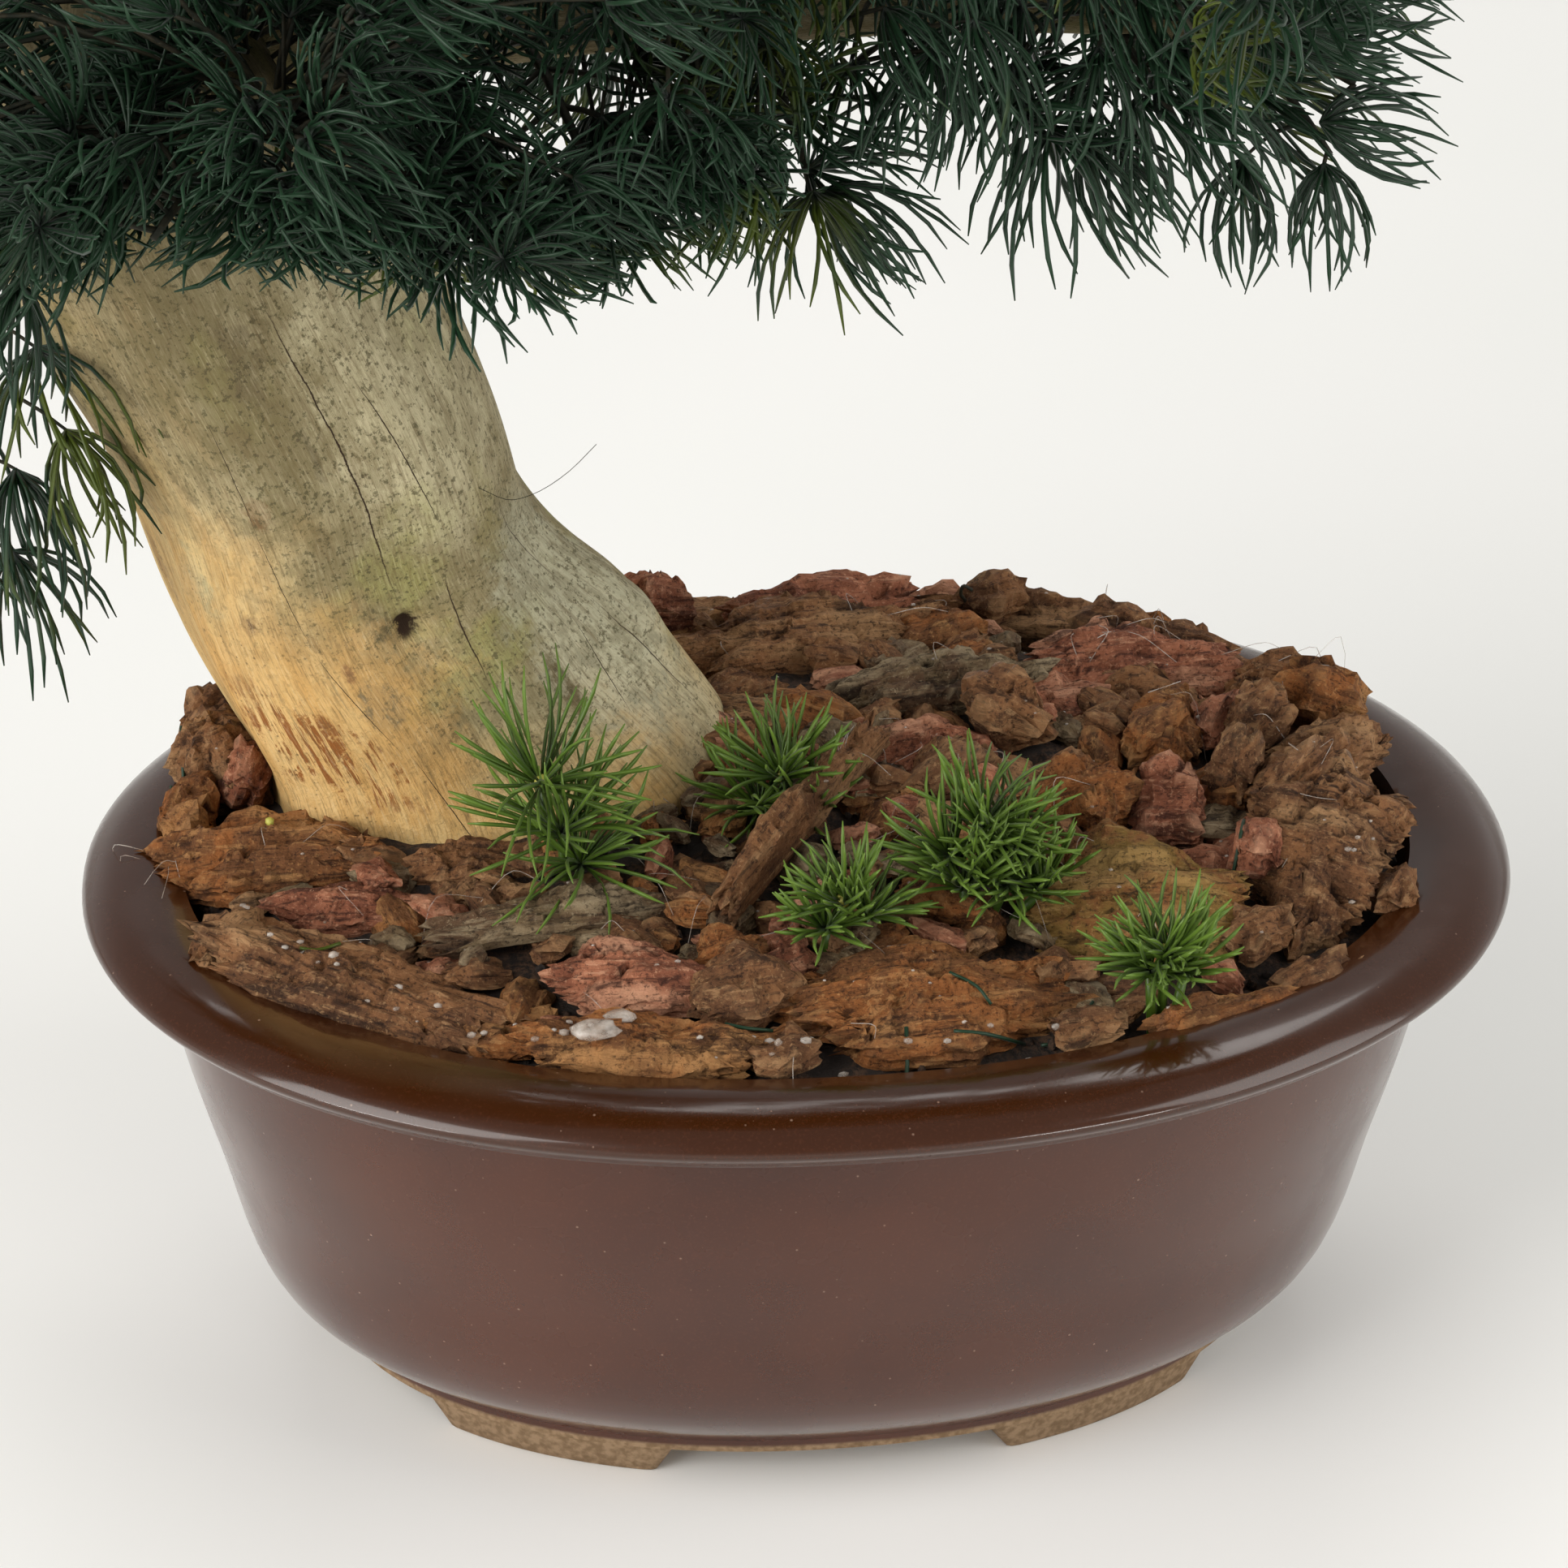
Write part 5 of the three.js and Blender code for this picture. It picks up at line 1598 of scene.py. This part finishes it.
# %% Fern on the limbs
CLOTHED = {
    "lowRight": (44, 0.3, 8),
    "front": (26, 0.35, 6),
    "lowLeft": (18, 0.55, 7),
    "back": (22, 0.4, 7),
    "midRight": (52, 0.2, 7),
    "midLeft": (16, 0.4, 6),
    "crownRight": (16, 0.2, 5),
    "trunk": (64, 0.66, 16),
}
FILL_TUFTS = 90
limb_tufts = 0
for number, (name, (count, start, thick)) in enumerate(CLOTHED.items()):
    draw = random.Random(400 + number)
    bm, _ = marked_bmesh("needle_look")
    tubes = bmesh.new()
    far = name not in LOW_LIMBS
    limb_tufts += clothe_limb(bm, tubes, LIMB_AXES[name], draw, count, start, thick, far)
    pour(bm, tubes, material=1)
    finish_piece(bm, "fern_on_" + name, [FERN, TWIG])

draw = random.Random(500)
bm, _ = marked_bmesh("needle_look")
tubes = bmesh.new()
branches = [
    point for name in ("lowRight", "front", "lowLeft") for point in sampled(LIMB_AXES[name], 12)
]
filled = 0
while filled < FILL_TUFTS:
    spot = Vector((draw.uniform(-150, 84), draw.uniform(-76, -24), draw.uniform(232, 286))) * MM
    sparse = spot.x > LACY_RIGHT_OF and draw.random() < 0.8
    if sparse or not within_reach(spot, 5.0):
        continue
    heading = join_twig(tubes, branches, spot)
    filled += hang_tuft(bm, spot, heading, draw, 1.0, 0.15)
pour(bm, tubes, material=1)
finish_piece(bm, "fern_between_sprays", [FERN, TWIG])
print("tufts of fern on the limbs and between:", limb_tufts, filled)

# %% [markdown]
# The fresh sprigs at the foot of the trunk are live green stems stuck into the bark. Their
# needles stand up and spread like a rosette, straighter and a lighter green than the fern's,
# with a yellow-green bud in the middle.

# %% Ground sprigs
SPRIG_GREEN = needle_material(
    "fresh_needles", (46, 70, 14), (84, 112, 32), (112, 138, 56), roughness=0.38
)


def bud_material():
    material, tree, shader = new_material("fresh_bud", roughness=0.5)
    place = object_place(tree)
    body = mixed(tree, cloudy(tree, place, 900.0), colour(150, 150, 50), colour(190, 184, 90))
    feed(tree, shader.inputs["Base Color"], body)
    roughen(tree, shader, (cloudy(tree, place, 1500.0), 0.2, 1.0))
    return material


FRESH_BUD = bud_material()
SPRIG_NEEDLES = 46
SPRIG_RADIUS = 0.36 * MM
BUD_RADIUS = 1.3 * MM
# Each sprig: its foot, the place of each whorl, and the needle length
SPRIGS = {
    "sprig_by_trunk": ((-42, -22), [(-46, -21, 119), (-43, -24, 111), (-40, -26, 106)], 25),
    "sprig_at_root": ((1, -9), [(-4, -10, 112), (-8, -11, 107), (0, -12, 106)], 19),
    "sprig_large": (
        (24, -38),
        [(27, -37, 115), (21, -39, 111), (32, -38, 111), (23, -43, 107), (30, -43, 107), (36, -42, 105)],
        18,
    ),
    "sprig_middle": ((0, -46), [(2, -48, 108), (6, -49, 106), (-1, -49, 104)], 15),
    "sprig_right": ((52, -66), [(53, -67, 106), (50, -69, 104), (56, -68, 103)], 16),
}


def grow_sprig(bm, foot, whorls, length, seed):
    """A forked stem with a rosette of upright needles on every end, and a bud on the first."""
    draw = random.Random(seed)
    tubes = bmesh.new()
    for place in whorls:
        middle = foot.lerp(place, 0.5)
        middle.z = mix(foot.z, place.z, 0.4)
        grow_tube(tubes, sampled([foot, middle, place], 5), radii_of(1.0, 0.95, 0.9, 0.85, 0.8), 7)
    pour(bm, tubes)
    for i, place in enumerate(whorls):
        long = length * (1 - 0.03 * i)
        whorl = tuft_mesh(seed * 10 + i, SPRIG_NEEDLES, 1.2, 0.35, long, SPRIG_RADIUS, 5)
        lean = Vector((draw.uniform(-0.35, 0.35), draw.uniform(-0.5, 0.0), 1)).normalized()
        add_tuft(bm, whorl, place, lean, draw.uniform(0, 6), 1.0, 20)
        bpy.data.meshes.remove(whorl)
    bud = bmesh.new()
    bmesh.ops.create_icosphere(bud, subdivisions=2, radius=BUD_RADIUS)
    for vert in bud.verts:
        vert.co *= 1 + 0.25 * noise.noise(vert.co * 1400)
    pour(bm, bud, Matrix.Translation(whorls[0] + Vector((0, 0, 0.8 * MM))), 1)


for number, (name, (foot, whorls, length)) in enumerate(SPRIGS.items()):
    bm, _ = marked_bmesh("needle_look")
    low = Vector((foot[0], foot[1], 0)) * MM
    low.z = bed_height(low.x, low.y) - 9 * MM
    grow_sprig(bm, low, places(whorls), length * MM, 300 + number)
    finish_piece(bm, name + "_leaves", [SPRIG_GREEN, FRESH_BUD], [name])
print("sprigs:", len(SPRIGS))

for meshes in TUFTS.values():
    for mesh in meshes:
        bpy.data.meshes.remove(mesh)

# %% [markdown]
# The maker fixed everything with clear hot glue, which leaves fine white threads and a few
# hardened drops. They are thin tubes and flattened beads of a milky clear material.

# %% Glue threads and drops


def glue_material():
    material, tree, shader = new_material("clear_glue", roughness=0.18)
    place = object_place(tree)
    milk = between(tree, cloudy(tree, place, 300.0), 0.3, 0.7)
    body = mixed(tree, milk, colour(168, 148, 132), colour(222, 214, 204))
    feed(tree, shader.inputs["Base Color"], body)
    feed(tree, shader.inputs["Alpha"], between(tree, cloudy(tree, place, 500.0), 0.3, 0.7, 0.3, 0.65))
    return material


def ground_tree():
    """All bark and gravel in one search tree."""
    ground = bmesh.new()
    for item in bpy.context.scene.objects:
        if item.type == "MESH" and ("chip" in item.name or "gravel_with" in item.name):
            ground.from_mesh(item.data)
    tree = BVHTree.FromBMesh(ground)
    ground.free()
    return tree


GROUND = ground_tree()


def ground_place(x, y, lift=0.0):
    """The top of the bark or gravel at a place, all in metres."""
    hit = GROUND.ray_cast(Vector((x, y, 0.2)), Vector((0, 0, -1)))[0]
    height = hit.z if hit else bed_height(x, y)
    return Vector((x, y, height + lift))


def open_ground(draw, spread=99):
    """A random place on the bed that the trunk doesn't cover."""
    while True:
        reach = spread * math.sqrt(draw.random()) * MM
        x, y = plan_point(reach, draw.uniform(0, 2 * math.pi))
        if clear_of_trunk(x, y, 44 * MM):
            return x, y


def drop_of_glue(bm, x, y, size, flat):
    """A rounded drop that lies on the ground."""
    drop = bmesh.new()
    bmesh.ops.create_icosphere(drop, subdivisions=2 if size > 2 * MM else 1, radius=1)
    for vert in drop.verts:
        vert.co *= 1 + 0.35 * noise.noise(vert.co * 1.7 + Vector((x, y, 0)) * 900)
    place = Matrix.Translation(ground_place(x, y, 0.2 * size * flat))
    pour(bm, drop, place @ Matrix.Diagonal((size, size * 0.7, size * flat, 1)))


GLUE = glue_material()
# Tangles of glue thread where the photograph shows them
TANGLES = [(-112, 0), (-110, -10), (-108, -44), (26, -34), (34, -30), (-30, -28), (84, 14), (62, 36)]
SINGLE_THREADS = 70
DROPS_ON_BARK = 90
DROPS_AT_RIM = 70
bm = bmesh.new()
drawn = random.Random(77)
starts = [open_ground(drawn) for _ in range(SINGLE_THREADS)]
starts += [((x + drawn.uniform(-4, 4)) * MM, (y + drawn.uniform(-4, 4)) * MM) for x, y in TANGLES * 5]
for x, y in starts:
    reach = drawn.uniform(3, 13) * MM
    turn = drawn.uniform(0, 6)
    end_x, end_y = x + math.cos(turn) * reach, y + math.sin(turn) * reach
    start, end = ground_place(x, y, 0.1 * MM), ground_place(end_x, end_y, 0.1 * MM)
    middle = start.lerp(end, 0.5) + Vector([drawn.uniform(-3, 3) * MM for _ in range(3)])
    middle.z = max(start.z, end.z) + drawn.uniform(0.2, 1.6) * MM
    grow_tube(bm, sampled([start, middle, end], 9), [drawn.uniform(0.05, 0.09) * MM] * 9, 3)
for i in range(DROPS_ON_BARK):
    x, y = open_ground(drawn, 104)
    drop_of_glue(bm, x, y, drawn.uniform(0.25, 0.6) * MM, 0.6)
for i in range(DROPS_AT_RIM):
    x, y = plan_point(drawn.uniform(98, 104) * MM, drawn.uniform(-2.9, -0.3))
    drop_of_glue(bm, x, y, drawn.uniform(0.4, 1.1) * MM, 0.7)
drop_of_glue(bm, -41 * MM, -72 * MM, 4.2 * MM, 0.35)
drop_of_glue(bm, -37 * MM, -69 * MM, 2.6 * MM, 0.4)
finish_piece(bm, "glue_threads", [GLUE])
print("threads and drops:", len(starts), DROPS_ON_BARK + DROPS_AT_RIM + 2)

# %% [markdown]
# A few needles have fallen on the bark, with a speck of bud on the left, a curled rootlet on
# the back ridge and one loose fibre that stands off the trunk's right side.

# %% Litter
# Each fallen needle: place in mm, turn in degrees and length in mm
FALLEN = [
    (7, -81, 80, 9), (17, -74, 20, 13), (32, -71, 35, 11), (-109, 17, 82, 10), (-88, -41, 10, 7),
    (24, -68, 150, 8), (-20, -70, 5, 8), (70, -34, 70, 9),
]
ROOTLET = [(38, 62, 104), (38.4, 61, 109), (37, 59, 112), (37.4, 58, 114), (39, 58, 113)]
FIBRE = [(-54, 2, 164), (-49, 2, 161.5), (-44.5, 2, 162.5), (-39, 2, 166), (-34, 2, 171)]
STRAND_POINTS = 14
bm, look = marked_bmesh("needle_look")
for x, y, turn, length in FALLEN:
    ahead = Matrix.Rotation(math.radians(turn), 3, "Z") @ Vector((1, 0, 0))
    spots = needle_points(ahead, ahead.cross(Vector((0, 0, 1))), 0.5, 1.6, length * MM, 5, 0)
    lying = [ground_place(x * MM + spot.x, y * MM + spot.y, 0.4 * MM) for spot in spots]
    for ring in grow_tube(bm, sampled([lying[0], lying[2], lying[5]], 7), [0.36 * MM] * 7, 4):
        for vert in ring:
            vert[look] = (0.5, 0.7, 0)
speck = bmesh.new()
bmesh.ops.create_icosphere(speck, subdivisions=1, radius=0.9 * MM)
pour(bm, speck, Matrix.Translation(ground_place(-92 * MM, -4 * MM, 0.5 * MM)), 1)
for points, thick in ((ROOTLET, 0.35), (FIBRE, 0.06)):
    strand = bmesh.new()
    grow_tube(strand, sampled(places(points), STRAND_POINTS), [thick * MM] * STRAND_POINTS, 5)
    pour(bm, strand, material=2)
finish_piece(bm, "fallen_litter", [FERN, FRESH_BUD, TWIG])
print("fallen needles:", len(FALLEN))

# %% [markdown]
# The photograph was taken on white paper that curves up behind the pot, under large soft lamps.
# The floor is stage only. Two broad lamps light the part from the left and the right, and one
# behind lights the paper. Two thin strips draw the streaks on the rim's lower edge, and the dim
# room above leaves its top dark.

# %% Stage and light


def paper_material():
    material, tree, shader = new_material("white_paper", roughness=0.7, specular=0.2)
    place = object_place(tree)
    soft = between(tree, cloudy(tree, place, 3.0, 2.0), 0.3, 0.7)
    body = mixed(tree, soft, (0.86, 0.86, 0.835, 1), (0.88, 0.875, 0.855, 1))
    feed(tree, shader.inputs["Base Color"], body)
    return material


# The paper's curve behind the part: how far back and how high, in metres
PAPER_CURVE = [(1.8, 0), (2.3, 0.05), (2.7, 0.18), (2.95, 0.4), (3.0, 0.6)]
bm = bmesh.new()
sheet = [bm.verts.new((x, -2.5, 0)) for x in (-4, 4)]
edge = [bm.edges.new(sheet)]
for y, z in PAPER_CURVE:
    made = bmesh.ops.extrude_edge_only(bm, edges=edge)["geom"]
    edge = [item for item in made if isinstance(item, bmesh.types.BMEdge) and item.is_boundary]
    ends = [item for item in made if isinstance(item, bmesh.types.BMVert)]
    edge = [item for item in edge if item.verts[0] in ends and item.verts[1] in ends]
    for vert in ends:
        vert.co.y = y
        vert.co.z = z
bmesh.ops.recalc_face_normals(bm, faces=bm.faces)
mesh = settled(bm, "paper_floor")
mesh.shade_smooth()
mesh.materials.append(paper_material())
floor = bpy.data.objects.new("paper_floor", mesh)
bpy.context.scene.collection.objects.link(floor)


def soft_lamp(name, place, aim, width, height, power):
    data = bpy.data.lights.new(name, "AREA")
    data.shape = "RECTANGLE"
    data.size = width
    data.size_y = height
    data.energy = power
    data.color = LAMP_TINT
    lamp = bpy.data.objects.new(name, data)
    lamp.location = place
    lamp.rotation_euler = (Vector(aim) - Vector(place)).to_track_quat("-Z", "Y").to_euler()
    bpy.context.scene.collection.objects.link(lamp)


LAMP_TINT = (1.0, 0.985, 0.96)
# Each lamp: its place, aim, width and height in metres, and its power in watts
LAMPS = {
    "left_lamp": ((-1.3, -0.8, 0.95), (0, 0, 0.12), 1.3, 1.3, 27),
    "right_lamp": ((1.4, -0.6, 0.9), (0, 0, 0.12), 1.2, 1.3, 15),
    "left_strip": ((-1.38, -1.0, 0.26), (0, 0, 0.1), 0.7, 0.06, 5),
    "right_strip": ((0.88, -1.46, 0.26), (0, 0, 0.1), 0.6, 0.06, 5),
    "back_lamp": ((0.1, 1.3, 1.9), (0, 0.7, 0), 1.8, 0.8, 15),
}
for name, values in LAMPS.items():
    soft_lamp(name, *values)

world = bpy.data.worlds.new("room")
world.use_nodes = True
room = world.node_tree
direction = room.nodes.new("ShaderNodeSeparateXYZ")
room.links.new(room.nodes.new("ShaderNodeTexCoord").outputs["Generated"], direction.inputs[0])
ROOM_LOW = (0.72, 0.72, 0.705, 1)
ROOM_HIGH = (0.30, 0.30, 0.297, 1)
upward = between(room, direction.outputs["Z"], 0.0, 0.55)
sky = mixed(room, upward, ROOM_LOW, ROOM_HIGH)
feed(room, room.nodes["Background"].inputs["Color"], sky)
room.nodes["Background"].inputs["Strength"].default_value = 1.0
bpy.context.scene.world = world
bpy.context.scene.view_settings.view_transform = "Standard"
# Light that has bounced this often adds little here and costs much time in the dense fern
cycles = bpy.context.scene.cycles
cycles.max_bounces = 5
cycles.diffuse_bounces = 3
cycles.glossy_bounces = 2

# %% [markdown]
# The last step measures the part with its finish on, counts its triangles and hands it over.

# %% Measure and finish
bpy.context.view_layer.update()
triangles = sum(
    len(face.vertices) - 2
    for item in bpy.context.scene.objects if item.type == "MESH" and not item.hide_render
    for face in item.data.polygons
)
print("triangles:", triangles)
